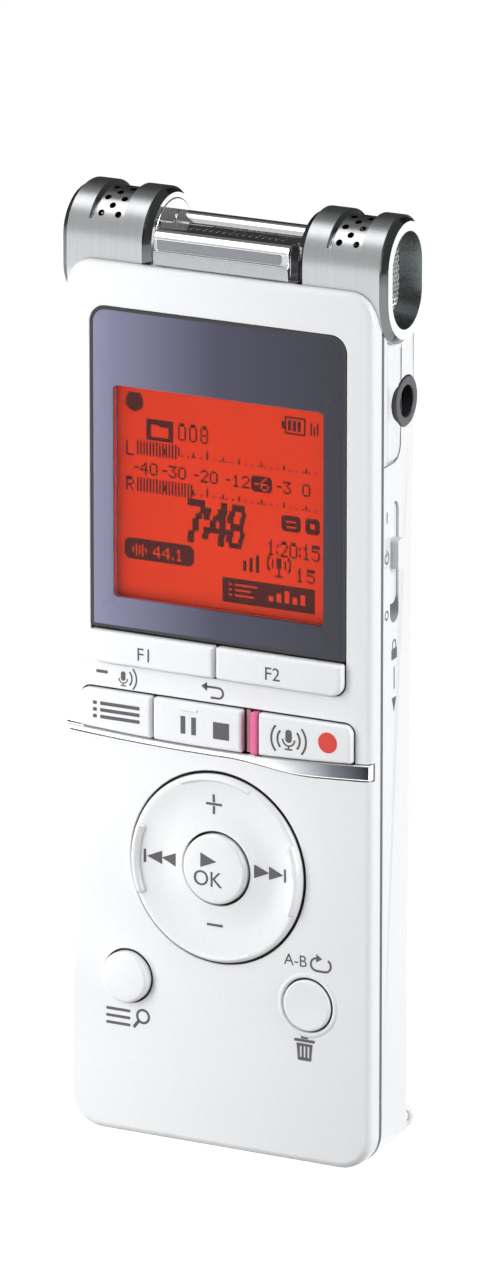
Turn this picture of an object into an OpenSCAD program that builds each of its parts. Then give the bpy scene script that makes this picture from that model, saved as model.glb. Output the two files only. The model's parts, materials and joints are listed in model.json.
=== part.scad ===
// Pocket field recorder with two end-firing microphone barrels.
// Upright: +Z is up, -Y is the front with the display and keys, X = 0 is the middle.
// "Depth" is always counted backwards from the front face of the cover.

/* [Case] */
// Width of the case
case_w = 40; // [40:0.1:41]
// Height of the front cover
cover_h = 103.5; // [103.4:0.1:104]
// Depth of the flat lower back
back_depth = 14.2; // [14.2:0.1:14.5]
// Height of the hump on the upper back
hump_rise = 0.4; // [0.3:0.1:0.6]
// Wall thickness of the rear housing
wall = 1.2; // [1:0.1:1.3]

/* [Microphone barrels] */
// Radius of the rounded ends of a barrel's section
barrel_r = 5.8; // [5.6:0.1:5.9]
// Half the straight stretch of a barrel's section
barrel_half = 1.6; // [1.4:0.1:1.8]
// Height of the barrels' centre
barrel_z = 104; // [103.8:0.1:104.4]

/* [Controls] */
// Travel of the keys and round buttons
key_travel = 0.3; // [0.2:0.05:0.3]
// Radius of the four-way ring
ring_r = 11.2; // [11:0.1:11.2]
// Radius of the jack sockets
jack_r = 1.8; // [1.8:0.05:1.9]

/* [Hidden] */
$fn = 48;

// Case
front_rise = 1.2;
case_d = back_depth + hump_rise;
mid = (case_d - front_rise) / 2;
half_w = case_w / 2;
face_t = 1.1;
cover_depth = 2.6;
seam = 0.1;
rear_front = cover_depth + seam;
cover_wall = 1.2;
cover_r_top = 3.3;
cover_r_bottom = 4.3;
back_r = 4.8;
heel_r = 1.5;
rear_top = 103;
hump_z = [80, 84, 92];
crown_r = 26.4;
crown_steps = 6;
seat_gap = 0.05;
cut = 1;

// Display
frame_x = 16.6;
frame_z = [60.5, 98.3];
frame_r = 2;
frame_t = 1.3;
glass_x = 13.65;
glass_z = [64.3, 89.2];
glass_r = 0.6;
lens_depth = [0.1, 0.9];
lcd_x = 15;
lcd_z = [62.2, 91];
lcd_depth = [1.35, 2.5];
light_depth = [2.55, 3.5];
holder_x = 16.4;
holder_z = [61, 92.2];
holder_depth = 4.1;

// Keys
key_gap = 0.15;
flange = [1.2, 1.5];
flange_grow = 0.4;
row_top = 53.2;
row_r = 1.1;
f_key_z = [56.4, 60.25];
f_key_x = [16.5, 0.12];
f_key_r = 1.5;
f_key_proud = 0.9;
row_proud = 0.8;
menu_x = [-17.8, -8.35];
stop_x = [-8.1, 3.5];
light_x = [3.75, 4.3];
strip_x = [4.6, 5.6];
record_x = [5.65, 17.7];
row_step = 1.5;

// Chrome trim
trim_x = 19.9;
trim_sag = 0.0019;
trim_low = 47.95;
trim_thin = 0.75;
trim_fat = 1.85;
trim_swell = [1, 12];
trim_depth = [-0.25, 0.75];
trim_step = 1.99;

// Four-way ring and round buttons
ring_z = 33.8;
ring_gap = 0.3;
ok_r = 4.15;
ok_hole_r = 4.45;
ok_proud = 1.05;
ok_lip = 0.6;
ring_back = 0.9;
ring_low = 0.25;
ring_rim = -0.6;
ridge_r = [10.25, 10.45, 10.9, 11.15];
ridge_depth = [-0.3, -0.95];
rocker_r = [5.2, 8];
rocker_depth = [1.3, 1.55];
pivot_r = [0.25, 0.28];
pivot_depth = [1.17, 1.8];
pivot_x = [5.2, 7.1];
pivot_y = [5.4, 7.8];
pad_r = 9;
pad_foot = [0.8, 0.65];
button_r = 3.05;
button_gap = 0.2;
list_xz = [-11.9, 19.1];
erase_xz = [11.8, 19.1];
list_proud = 1.2;
erase_proud = 0.45;
erase_well_r = 3.9;
erase_well = 0.45;

// Boards
key_board_depth = [2.1, 2.6];
main_board_depth = [4.3, 5.1];
board_x = 17.6;
key_board_z = [2.4, 59.6];
main_board_z = [59.9, 95.4];
dome_gap = 0.12;
dome_depth = [flange[1] + key_travel + dome_gap, key_board_depth[0] - 0.02];
dome_r = 1.6;
presses = [[-8.3, 58.3], [8.3, 58.3], [-13, 51], [-2.3, 51], [11.5, 51],
    [0, ring_z], list_xz, erase_xz];
ribbon_t = 0.15;
board_ribbon_x = [5, 11];
board_ribbon_route = [[2.65, 56], [2.65, 58.5], [4, 59.6], [4.12, 60.6]];
mic_ribbon_x = [3.6, 7.6];
mic_ribbon_route = [[4.1, 93], [4.1, 95.9], [3.4, 97.4], [3.4, 103.5]];
ribbon_slot = [3.2, 3.8];

// Battery
cell_r = 5.25;
cell_len = 44.5;
cell_x = -9.7;
cell_depth = 7.95;
cell_z = 11.8;
bay_x = [-15.4, -4];
bay_z = [9, 58.2];
bay_wall = 0.8;
door_x = [-16.3, -3.1];
door_z = [9.4, 59.1];
door_front = 13.45;
door_gap = 0.1;
door_travel = 2.8;

// USB plug
usb_x = 5.5;
usb_depth = 8.6;
usb_w = 12;
usb_t = 4.5;
usb_z = [0.3, 19.3];
usb_travel = 15;
lever_z = [23, 28];
track_floor = 13.6;

// Side controls and sockets
slide_z = [66.3, 78.15];
slide_travel = 2;
slide_gap = 0.15;
slide_r = 1.15;
slot_z = [slide_z[0] - slide_travel - slide_gap, slide_z[1] + slide_gap];
slot_depth = [4.8, 7.5];
grip_z = [70.5, 74.1];
grip_out = 0.9;
grip_r = 0.5;
switch_x = [13.6, 17];
switch_depth = [5.15, 8];
switch_z = [67, 76.5];
switch_slot = [5.7, 6.6];
jack_z = 89.5;
jack_depth = 8.7;
jack_x = [6.5, 18.3];
jack_bore_x = 7.5;
earphone_drop = 4.5;
collar_r = 2.95;
collar_out = 21;
insert_depth = [2.8, 7.35];
insert_z = [83, 97.5];
insert_x = [19.1, 19.95];
insert_r = 1.8;

// Sound outlet on the back: rings of holes as (ring radius, holes)
speaker_xz = [6, 72];
speaker_r = [4.2, 6.4];
speaker_depth = [9.4, 11.4, 12.9];
sound_rings = [[0, 1], [2.2, 6], [4.4, 12]];
sound_hole_r = 0.5;

// Microphones
barrel_x = [9.5, 21.1];
barrel_depth = 6.8;
chamfer = [0.76, 1.17];
bore_r = 4.6;
bore_x = [10.6, 18.4];
cap_r = 4.5;
cap_x = [9.4, 10.55];
mesh_x = [18.15, 18.35];
mic_holder_x = [13.8, 16.2];
capsule_r = 3;
capsule_x = [13.5, 17.4];
mouth_r = [3.3, 4.04];
pocket_x = [13.5, 17.3];
pocket_r = 5.2;
pocket_flare = 1.1;
pocket_from = 24;
pocket_sweep = 126;
grille_r = 0.4;
grille_pitch = 1.1;
grille_from = 34;
grille_step = 12;
grille_rows = [grille_from : grille_step : 130];
drill = [1.2, 2.4];
bar_x = [-8.6, 8.8];
bar_section = [[0.5, 103.7], [0.35, 105.4], [0.75, 105.5], [0.75, 106.8], [1.3, 107.35],
    [2.2, 107.8], [5, 107.8], [5.2, 107.5], [5.2, 103.7]];
bar_foot_x = 3;
bar_foot = [[2.8, 5], [103.05, 103.8]];
centre_z = 105.7;
centre_r = 1.6;
centre_depth = [1.9, 4.9];
rail_r = 1.25;
rail_depth = 8.2;
rail_z = 107.3;

// Screws: x, height, and the depth of the head's seat
screws = [[-15.2, 4.4, 12.2], [15.2, 4.4, 12.2], [16.2, 42, 12.2], [0, 99.7, 12]];
post_r = 1.9;
head_r = 1.45;
shank_r = 0.75;
boss_depth = 3;
hole_front = 1.9;
tip_depth = 2.1;

// Strap staple
staple_z = 3;
staple_r = 1.1;
staple_wire = 0.35;
staple_leg = 0.9;

white = [0.95, 0.95, 0.96];
silver = [0.78, 0.79, 0.8];
dark = [0.13, 0.13, 0.15];
board_green = [0.1, 0.35, 0.2];
copper = [0.8, 0.55, 0.25];

// ---- helpers ----

// Outlines are drawn as (x, height) and filled from one depth to another
module plate(from, to)
    translate([0, to - mid, 0]) rotate([90, 0, 0]) linear_extrude(to - from) children();

// Outlines are drawn as (depth, height) and filled from one x to another
module side_plate(from, to)
    translate([from, -mid, 0]) rotate([90, 0, 90]) linear_extrude(to - from) children();

// Outlines are drawn as (x, depth) and filled from one height to another
module floor_plate(from, to)
    translate([0, -mid, from]) linear_extrude(to - from) children();

module post(x, z, r, from, to)
    translate([x, from - mid, z]) rotate([-90, 0, 0]) cylinder(r = r, h = to - from);

module rod(depth, z, r, from, to)
    translate([from, depth - mid, z]) rotate([0, 90, 0]) cylinder(r = r, h = to - from);

// Corner points of a panel: a square corner has one point, a round one has two
function corner(p, u, v, r) = r > 0 ? [p + r * u, p + r * v] : [p];

// Rectangle with its own radius at each corner: low left, low right, high right, high left
module panel(a, b, r = [0, 0, 0, 0]) {
    polygon([
        each corner([a[0], b[0]], [0, 1], [1, 0], r[0]),
        each corner([a[1], b[0]], [-1, 0], [0, 1], r[1]),
        each corner([a[1], b[1]], [0, -1], [-1, 0], r[2]),
        each corner([a[0], b[1]], [1, 0], [0, -1], r[3])
    ]);
    for (c = [[0, 0, 0, 1, 1], [1, 0, 1, -1, 1], [1, 1, 2, -1, -1], [0, 1, 3, 1, -1]])
        if (r[c[2]] > 0)
            translate([a[c[0]] + c[3] * r[c[2]], b[c[1]] + c[4] * r[c[2]]]) circle(r[c[2]]);
}

function grow(range, g) = [range[0] - g, range[1] + g];
function all4(r) = [r, r, r, r];

// ---- case shape ----

module case_outline(inset, top) {
    rb = cover_r_bottom - inset;
    rt = cover_r_top - inset;
    panel([inset - half_w, half_w - inset], [inset, top - inset], [rb, rb, rt, rt]);
}

function crown(inset) = [for (i = [0 : crown_steps])
    let (z = hump_z[2] + (rear_top - hump_z[2]) * i / crown_steps)
    [case_d - inset - crown_r + sqrt(pow(crown_r, 2) - pow(z - hump_z[2], 2)), z]];

module case_side(inset) {
    back = back_depth - inset;
    intersection() {
        polygon([[0, 0], [back, 0], [back, hump_z[0]], [case_d - inset, hump_z[1]],
            each crown(inset), [0, rear_top]]);
        panel([0, case_d], [inset, rear_top - inset], [0, heel_r, 0, 0]);
    }
}

module case_solid(inset, front) {
    intersection() {
        plate(front, case_d) case_outline(inset, rear_top);
        side_plate(-half_w, half_w) case_side(inset);
        floor_plate(0, rear_top)
            panel([inset - half_w, half_w - inset], [front, case_d - inset],
                [0, 0, back_r - inset, back_r - inset]);
    }
}

// Turned shape of obround section along X; its half profile is drawn as (radius, x)
module obround_turned() {
    translate([0, barrel_depth - mid, barrel_z]) {
        for (z = [-barrel_half, barrel_half])
            translate([0, 0, z]) rotate([0, 90, 0]) rotate_extrude() children();
        translate([0, 0, -barrel_half]) linear_extrude(2 * barrel_half)
            for (m = [0, 1]) mirror([0, m]) mirror([1, -1]) children();
    }
}

module obround_block(r, from, to)
    obround_turned() translate([0, from]) square([r, to - from]);

module barrel_seats()
    for (m = [0, 1]) mirror([m, 0, 0])
        obround_block(barrel_r + seat_gap, barrel_x[0] - 0.15, half_w + 2 * cut);

// ---- front of the case ----

function trim_top(x) = trim_low + trim_sag * pow(x + 1, 2);
function smooth(t) = t <= 0 ? 0 : t >= 1 ? 1 : t * t * (3 - 2 * t);
function trim_t(x) = trim_thin
    + (trim_fat - trim_thin) * smooth((x - trim_swell[0]) / (trim_swell[1] - trim_swell[0]));
trim_xs = [for (x = [-trim_x : trim_step : trim_x + 0.01]) x];

module trim_outline() {
    last = len(trim_xs) - 1;
    polygon([
        for (x = trim_xs) [x, trim_top(x)],
        for (i = [last : -1 : 0]) [trim_xs[i], trim_top(trim_xs[i]) - trim_t(trim_xs[i])]
    ]);
}

// Key in the row above the trim: its lower edge follows the trim
module row_outline(x, low, top, r) {
    steps = ceil((x[1] - x[0]) / row_step);
    intersection() {
        panel(x, [trim_low - cut, top], [0, 0, r[1], r[0]]);
        polygon([
            for (i = [0 : steps])
                let (px = x[0] + (x[1] - x[0]) * i / steps) [px, trim_top(px) + low],
            [x[1], top + cut], [x[0], top + cut]
        ]);
    }
}

module f_key_outline(g)
    panel([-f_key_x[0] - g, -f_key_x[1] + g], grow(f_key_z, g), [f_key_r + g, 0, 0, 0]);

module front_cover() {
    color(white) difference() {
        union() {
            plate(0, face_t) case_outline(0, cover_h);
            plate(face_t, cover_depth) difference() {
                case_outline(0, cover_h);
                case_outline(cover_wall, cover_h);
            }
            for (s = screws) post(s[0], s[1], post_r - 0.1, face_t, boss_depth);
        }
        for (s = screws) post(s[0], s[1], shank_r + seat_gap, hole_front, boss_depth + cut);
        barrel_seats();
        plate(-cut, face_t + cut) {
            panel([-frame_x - seat_gap, frame_x + seat_gap], grow(frame_z, seat_gap),
                [0, 0, frame_r, frame_r]);
            for (m = [0, 1]) mirror([m, 0]) f_key_outline(key_gap);
            row_outline([menu_x[0] - key_gap, record_x[1] + key_gap], 0,
                row_top + key_gap, [row_r, row_r]);
            translate([0, ring_z]) circle(ring_r + ring_gap);
            translate(list_xz) circle(button_r + button_gap);
            translate(erase_xz) circle(button_r + button_gap);
        }
        plate(-cut, trim_depth[1] + seat_gap) trim_outline();
        translate([erase_xz[0], -mid, erase_xz[1]]) rotate([-90, 0, 0])
            cylinder(r1 = erase_well_r, r2 = button_r + button_gap, h = erase_well);
    }
}

module chrome_trim() color([0.8, 0.82, 0.85]) plate(trim_depth[0], trim_depth[1]) trim_outline();

module record_light_pipe()
    color([0.8, 0.3, 0.3]) plate(0, flange[1])
        row_outline(light_x, key_gap, row_top, [0, 0]);

// ---- display ----

module display_frame() color([0.2, 0.2, 0.28]) plate(0, frame_t) difference() {
    panel([-frame_x, frame_x], frame_z, [0, 0, frame_r, frame_r]);
    panel([-glass_x, glass_x], glass_z, all4(glass_r));
}

module display_lens() color([0.9, 0.6, 0.5, 0.4]) plate(lens_depth[0], lens_depth[1])
    panel([-glass_x + seat_gap, glass_x - seat_gap], grow(glass_z, -seat_gap), all4(glass_r));

module lcd_panel() color([0.9, 0.27, 0.09])
    plate(lcd_depth[0], lcd_depth[1]) panel([-lcd_x, lcd_x], lcd_z);

module lcd_backlight() color([1, 0.6, 0.3])
    plate(light_depth[0], light_depth[1]) panel([-lcd_x, lcd_x], lcd_z);

module lcd_holder() color(dark) difference() {
    plate(lcd_depth[0], holder_depth) panel([-holder_x, holder_x], holder_z);
    plate(lcd_depth[0] - cut, light_depth[1] + seat_gap)
        panel([-lcd_x - 0.1, lcd_x + 0.1], grow(lcd_z, 0.1));
}

// ---- boards ----

module key_board() color(board_green) plate(key_board_depth[0], key_board_depth[1])
    difference() {
        panel([-board_x, board_x], key_board_z, all4(2.5));
        for (s = screws) translate([s[0], s[1]]) circle(post_r + 0.1);
    }

module main_board() color(board_green) plate(main_board_depth[0], main_board_depth[1])
    panel([-board_x, board_x], main_board_z, all4(1));

module key_switches() color(silver) {
    for (p = presses) post(p[0], p[1], dome_r, dome_depth[0], dome_depth[1]);
    for (a = [0 : 90 : 270])
        post(pad_r * cos(a), ring_z + pad_r * sin(a), dome_r, dome_depth[0], dome_depth[1]);
}

// Flat cable of even thickness through points given as (depth, height)
module ribbon(x, points) color(copper) side_plate(x[0], x[1])
    polygon([
        each points,
        for (i = [len(points) - 1 : -1 : 0]) points[i] + [ribbon_t, 0]
    ]);

module board_ribbon() ribbon(board_ribbon_x, board_ribbon_route);
module mic_ribbon() ribbon(mic_ribbon_x, mic_ribbon_route);

// ---- microphones ----

module right_barrel() difference() {
    obround_turned() polygon([
        [0, barrel_x[0]], [barrel_r - chamfer[0], barrel_x[0]],
        [barrel_r, barrel_x[0] + chamfer[1]], [barrel_r, barrel_x[1] - chamfer[1]],
        [barrel_r - chamfer[0], barrel_x[1]], [0, barrel_x[1]]
    ]);
    obround_turned() polygon([
        [0, barrel_x[0] - cut], [cap_r + seat_gap, barrel_x[0] - cut],
        [cap_r + seat_gap, bore_x[0]], [bore_r, bore_x[0]], [bore_r, bore_x[1]],
        [mouth_r[0], bore_x[1]], [mouth_r[1], barrel_x[1]], [mouth_r[1], barrel_x[1] + cut],
        [0, barrel_x[1] + cut]
    ]);
    translate([0, barrel_depth - mid, barrel_z + barrel_half]) {
        rotate([0, 90, 0]) rotate([0, 0, 270 - pocket_from - pocket_sweep])
            rotate_extrude(angle = pocket_sweep) polygon([
                [pocket_r, pocket_x[0]], [pocket_r + 2 * pocket_flare, pocket_x[0] - pocket_flare],
                [pocket_r + 2 * pocket_flare, pocket_x[1] + pocket_flare], [pocket_r, pocket_x[1]]
            ]);
        for (a = grille_rows) {
            paired = (a - grille_from) % (2 * grille_step) == 0;
            for (dx = paired ? [-grille_pitch, grille_pitch] : [0])
                translate([(pocket_x[0] + pocket_x[1]) / 2 + dx, 0, 0]) rotate([90 - a, 0, 0])
                    translate([0, 0, pocket_r - drill[0]]) cylinder(r = grille_r, h = drill[1]);
        }
    }
}

module right_mic_barrel() color(silver) right_barrel();
module left_mic_barrel() color(silver) mirror([1, 0, 0]) right_barrel();

module mic_mesh() color([0.55, 0.56, 0.58]) 
    obround_block(bore_r - seat_gap, mesh_x[0], mesh_x[1]);
module right_mic_mesh() mic_mesh();
module left_mic_mesh() mirror([1, 0, 0]) mic_mesh();

module mic_holder() color(dark) difference() {
    obround_block(bore_r - seat_gap, mic_holder_x[0], mic_holder_x[1]);
    rod(barrel_depth, barrel_z, capsule_r + seat_gap, mic_holder_x[0] - cut, mic_holder_x[1] + cut);
}
module right_mic_holder() mic_holder();
module left_mic_holder() mirror([1, 0, 0]) mic_holder();

module mic_capsule() color(silver) 
    rod(barrel_depth, barrel_z, capsule_r, capsule_x[0], capsule_x[1]);
module right_mic_capsule() mic_capsule();
module left_mic_capsule() mirror([1, 0, 0]) mic_capsule();

module barrel_cap() color([0.9, 0.9, 0.92]) obround_block(cap_r, cap_x[0], cap_x[1]);
module right_barrel_cap() barrel_cap();
module left_barrel_cap() mirror([1, 0, 0]) barrel_cap();

// Faceted bar with a foot on the housing and a bore for its capsule in the back
module centre_mic_bar() color(silver) difference() {
    union() {
        side_plate(bar_x[0], bar_x[1]) polygon(bar_section);
        side_plate(-bar_foot_x, bar_foot_x) panel(bar_foot[0], bar_foot[1]);
    }
    post(0, centre_z, centre_r + seat_gap, centre_depth[0] - 0.1, bar_section[7][0] + cut);
}

module centre_mic_capsule() color(dark)
    post(0, centre_z, centre_r, centre_depth[0], centre_depth[1]);

module rear_rail() color([0.85, 0.86, 0.88])
    rod(rail_depth, rail_z, rail_r, -barrel_x[0] + 0.15, barrel_x[0] - 0.15);

// ---- rear housing ----

module usb_outline(g)
    panel([usb_x - usb_w / 2 - g, usb_x + usb_w / 2 + g],
        [usb_depth - usb_t / 2 - g, usb_depth + usb_t / 2 + g]);

module speaker_grille()
    for (ring = sound_rings, i = [0 : ring[1] - 1])
        post(speaker_xz[0] + ring[0] * cos(i * 360 / ring[1]),
            speaker_xz[1] + ring[0] * sin(i * 360 / ring[1]),
            sound_hole_r, back_depth - 2 * wall, case_d + cut);

module insert_outline(g)
    panel([insert_depth[0] - g, insert_depth[1] + g], grow(insert_z, g),
        [0, insert_r + g, 0, 0]);

module rear_housing() color(white) difference() {
    union() {
        difference() {
            case_solid(0, rear_front);
            case_solid(wall, rear_front - cut);
        }
        for (s = screws) intersection() {
            post(s[0], s[1], post_r, boss_depth + seam, case_d);
            case_solid(0.1, rear_front);
        }
        plate(rear_front + 0.05, door_front) difference() {
            panel(grow(bay_x, bay_wall), grow(bay_z, bay_wall));
            panel(bay_x, bay_z);
        }
    }
    barrel_seats();
    for (m = [0, 1]) mirror([m, 0, 0]) {
        plate(-cut, case_d + cut)
            panel([barrel_x[0] - 0.15, half_w + cut], [barrel_z - barrel_half, rear_top + cut]);
        side_plate(insert_x[0] - seat_gap, half_w + cut) insert_outline(seat_gap);
    }
    right_jack_hole();
    left_jack() right_jack_hole();
    for (s = screws) {
        post(s[0], s[1], shank_r + seat_gap, rear_front, case_d);
        post(s[0], s[1], head_r + seat_gap, s[2], case_d + cut);
    }
    plate(back_depth - 2 * wall, case_d + cut) panel(bay_x, bay_z);
    plate(door_front - seat_gap, case_d + cut)
        panel(grow(door_x, door_gap), [door_z[0] - door_travel - 0.2, door_z[1] + door_gap]);
    floor_plate(-cut, wall + cut) usb_outline(0.2);
    plate(back_depth - 2 * wall, case_d + cut)
        panel([usb_x - 1.5, usb_x + 1.5], [lever_z[0] + 1 - usb_travel - 0.2, lever_z[1] - 0.8]);
    plate(track_floor, case_d + cut)
        panel([usb_x - 2.8, usb_x + 2.8], [lever_z[0] - usb_travel - 0.3, lever_z[1] + 0.3],
            all4(1));
    side_plate(half_w - wall - cut, half_w + cut) panel(slot_depth, slot_z, all4(1.3));
    plate(ribbon_slot[0], ribbon_slot[1])
        panel(grow(mic_ribbon_x, 0.2), [rear_top - wall - cut, rear_top + cut]);
    speaker_grille();
}

module side_insert() difference() {
    side_plate(insert_x[0], insert_x[1]) insert_outline(0);
    barrel_seats();
    translate([insert_x[1] + 1.9, 5.1 - mid, 80]) cylinder(r = 2.4, h = 20);
}
module right_side_insert() color([0.88, 0.89, 0.9]) difference() {
    side_insert();
    right_jack_hole();
}
module left_side_insert() color([0.88, 0.89, 0.9]) difference() {
    mirror([1, 0, 0]) side_insert();
    left_jack() right_jack_hole();
}

// The earphone socket is the mirror image of the microphone socket, a little lower
module left_jack() translate([0, 0, -earphone_drop]) mirror([1, 0, 0]) children();

module right_jack_hole()
    rod(jack_depth, jack_z, collar_r + seat_gap, jack_x[1], half_w + cut);

module jack_collar() color(dark) difference() {
    rod(jack_depth, jack_z, collar_r, jack_x[1] + seat_gap / 2, collar_out);
    rod(jack_depth, jack_z, jack_r, jack_x[1] - cut, collar_out + cut);
}
module mic_jack_collar() jack_collar();
module earphone_jack_collar() left_jack() jack_collar();

module jack_body() color(dark) difference() {
    side_plate(jack_x[0], jack_x[1])
        panel([jack_depth - 2.5, jack_depth + 2.4], [jack_z - 3.2, jack_z + 3.2]);
    rod(jack_depth, jack_z, jack_r, jack_bore_x, jack_x[1] + cut);
}
module mic_jack_body() jack_body();
module earphone_jack_body() left_jack() jack_body();

module speaker() color(dark)
    for (i = [0, 1])
        post(speaker_xz[0], speaker_xz[1], speaker_r[i], speaker_depth[i], speaker_depth[i + 1]);

// ---- battery ----

module battery_cell() color([0.2, 0.5, 0.35])
    translate([cell_x, cell_depth - mid, cell_z]) {
        cylinder(r = cell_r, h = cell_len);
        translate([0, 0, cell_len]) cylinder(r = 1.9, h = 0.8);
    }

// Conical spring drawn as a stack of wire rings with two sloping links
module battery_spring() color(silver) {
    wire = 0.4;
    turns = 3;
    rise = 0.72;
    taper = 0.6;
    foot_r = 4;
    translate([cell_x, cell_depth - mid, bay_z[0] + wire / 2 + seat_gap]) {
        for (i = [0 : turns]) translate([0, 0, i * rise])
            rotate_extrude() translate([foot_r - i * taper, 0]) circle(wire / 2);
        for (a = [0, 180]) rotate([0, 0, a])
            translate([foot_r - turns * taper / 2, 0, turns * rise / 2])
            rotate([0, -atan(taper / rise), 0])
            cube([wire / 2, wire, turns * rise * 1.25], center = true);
    }
}

module battery_plate() color(silver) floor_plate(57.2, 57.6)
    panel([cell_x - 4, cell_x + 4], [cell_depth - 4, cell_depth + 4], all4(1));

module battery_door() color(white) intersection() {
    plate(door_front, case_d) panel(door_x, door_z);
    case_solid(0, rear_front);
}

// ---- fasteners and strap ----

module case_screws() color(silver) for (s = screws) difference() {
    union() {
        post(s[0], s[1], head_r, s[2] + seat_gap, s[2] + 1);
        post(s[0], s[1], shank_r, tip_depth, s[2] + seat_gap);
    }
    for (a = [0, 90]) translate([s[0], s[2] + 0.9 - mid, s[1]]) rotate([0, a, 0])
        cube([1.8, 0.8, 0.4], center = true);
}

// Wire loop standing on the rounded rear corner
module strap_staple() color(silver)
    translate([half_w - back_r + back_r * cos(45),
            back_depth - back_r + back_r * sin(45) - mid, staple_z])
        rotate([0, 0, 45]) {
            rotate([90, 0, 0]) rotate([0, 0, -90]) rotate_extrude(angle = 180)
                translate([staple_r, 0]) circle(staple_wire);
            for (z = [-staple_r, staple_r]) translate([-staple_leg, 0, z]) rotate([0, 90, 0])
                cylinder(r = staple_wire, h = staple_leg);
        }

// ---- side switch ----

module power_switch_body() color(dark) difference() {
    side_plate(switch_x[0], switch_x[1]) panel(switch_depth, switch_z);
    side_plate(switch_x[1] - 1.4, switch_x[1] + cut) panel(switch_slot, grow(switch_z, -0.5));
}

module power_slider() color(white) {
    centre = (slot_depth[0] + slot_depth[1]) / 2;
    side_plate(half_w - wall - 0.1, half_w - 0.3)
        panel(grow(slot_depth, -0.12), slide_z, all4(slide_r));
    side_plate(half_w - wall - 0.55, half_w - wall - 0.1)
        panel(grow(slot_depth, 0.4), [slide_z[0] + 1, slide_z[1] - 0.9]);
    side_plate(half_w - 0.3, half_w + grip_out)
        panel(grow(slot_depth, -0.35), grip_z, all4(grip_r));
    side_plate(switch_x[1] - 1, half_w - wall - 0.5)
        panel([centre - 0.2, centre + 0.2], grow(grip_z, -0.6));
}

// ---- keys ----

module f_key() {
    plate(-f_key_proud, flange[1]) f_key_outline(0);
    plate(flange[0], flange[1])
        panel([-f_key_x[0] - flange_grow, -f_key_x[1]], [f_key_z[0] - flange_grow, f_key_z[1]]);
}
module f1_key() color(white) f_key();
module f2_key() color(white) mirror([1, 0, 0]) f_key();

// Low edge clear of the trim, and a flange only above, where there is room
module row_key(x, r) {
    plate(-row_proud, flange[1]) row_outline(x, key_gap, row_top, r);
    plate(flange[0], flange[1]) panel(x, [50, row_top + flange_grow]);
}
module menu_key() color(white) row_key(menu_x, [row_r, 0]);
module stop_key() color(white) {
    row_key(stop_x, [0, 0]);
    plate(-row_proud - 0.2, -row_proud) panel([-4.4, -2.2], [52.2, 52.55]);
}
module record_key() color(white) row_key(record_x, [0, row_r]);
module record_key_strip() color([0.9, 0.4, 0.6]) row_key(strip_x, [0, 0]);

// ---- four-way ring ----

module ring_ridge(from, sweep)
    rotate([0, 0, from]) rotate_extrude(angle = sweep)
        polygon([for (i = [0 : 3]) [ridge_r[i], ridge_depth[i == 1 || i == 2 ? 1 : 0]]]);

// Dished ring drawn about the button axis, which runs backwards
module cursor_ring() color(white) translate([0, -mid, ring_z]) rotate([-90, 0, 0]) {
    rotate_extrude() polygon([
        [ok_hole_r, ring_back], [ok_hole_r, -ring_low - 0.1], [5.4, -ring_low], [7.2, -0.12],
        [9, -ring_low], [10.4, ring_rim + 0.05], [ring_r - 0.3, ring_rim],
        [ring_r, -ring_low], [ring_r, ring_back]
    ]);
    for (a = [-22, 158]) ring_ridge(a, 44);
    for (a = [90, 270]) ring_ridge(a - 4, 8);
    for (a = [0 : 90 : 270]) rotate([0, 0, a]) translate([pad_r, 0, ring_back - 0.05])
        cylinder(r = pad_foot[0], h = pad_foot[1]);
}

// Thin plate that rocks on two sideways pivot rods and carries the ring on two upright ones
module ring_rocker() color(silver) translate([0, -mid, ring_z]) rotate([-90, 0, 0]) {
    thick = rocker_depth[1] - rocker_depth[0];
    translate([0, 0, rocker_depth[0]]) difference() {
        cylinder(r = rocker_r[1], h = thick);
        translate([0, 0, -cut]) cylinder(r = rocker_r[0], h = thick + 2 * cut);
    }
    for (a = [0, 180]) rotate([0, 0, a]) {
        translate([0, pivot_y[0], pivot_depth[0]]) rotate([-90, 0, 0])
            cylinder(r = pivot_r[0], h = pivot_y[1] - pivot_y[0]);
        translate([pivot_x[0], 0, pivot_depth[1]]) rotate([0, 90, 0])
            cylinder(r = pivot_r[1], h = pivot_x[1] - pivot_x[0]);
    }
}

// ---- round buttons ----

module round_button(xz, r, proud, lip) {
    post(xz[0], xz[1], r, -proud, flange[1]);
    post(xz[0], xz[1], r + lip, flange[0], flange[1]);
}
module ok_button() color(white) round_button([0, ring_z], ok_r, ok_proud, ok_lip);
module list_button() color(white) round_button(list_xz, button_r, list_proud, flange_grow);
module erase_button() color(white) round_button(erase_xz, button_r, erase_proud, flange_grow);

// ---- sliding USB plug ----

module usb_plug() color([0.8, 0.8, 0.82]) {
    difference() {
        floor_plate(usb_z[0], usb_z[1]) usb_outline(0);
        floor_plate(usb_z[0] - cut, usb_z[1] - 1.2) usb_outline(-0.3);
    }
    floor_plate(usb_z[0] + 0.5, usb_z[1] - 1.1)
        panel([usb_x - 5.6, usb_x + 5.6], [usb_depth - 1.95, usb_depth - 0.1]);
}

module usb_carriage() color(dark) {
    plate(6.2, 11) panel([usb_x - 6.4, usb_x + 6.4], [usb_z[1] + 0.02, 29]);
    plate(10.9, 13.7) panel([usb_x - 1.3, usb_x + 1.3], [lever_z[0] + 1, lever_z[1] - 1]);
    plate(track_floor + 0.1, case_d) panel([usb_x - 2.5, usb_x + 2.5], lever_z, all4(0.8));
}

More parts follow.
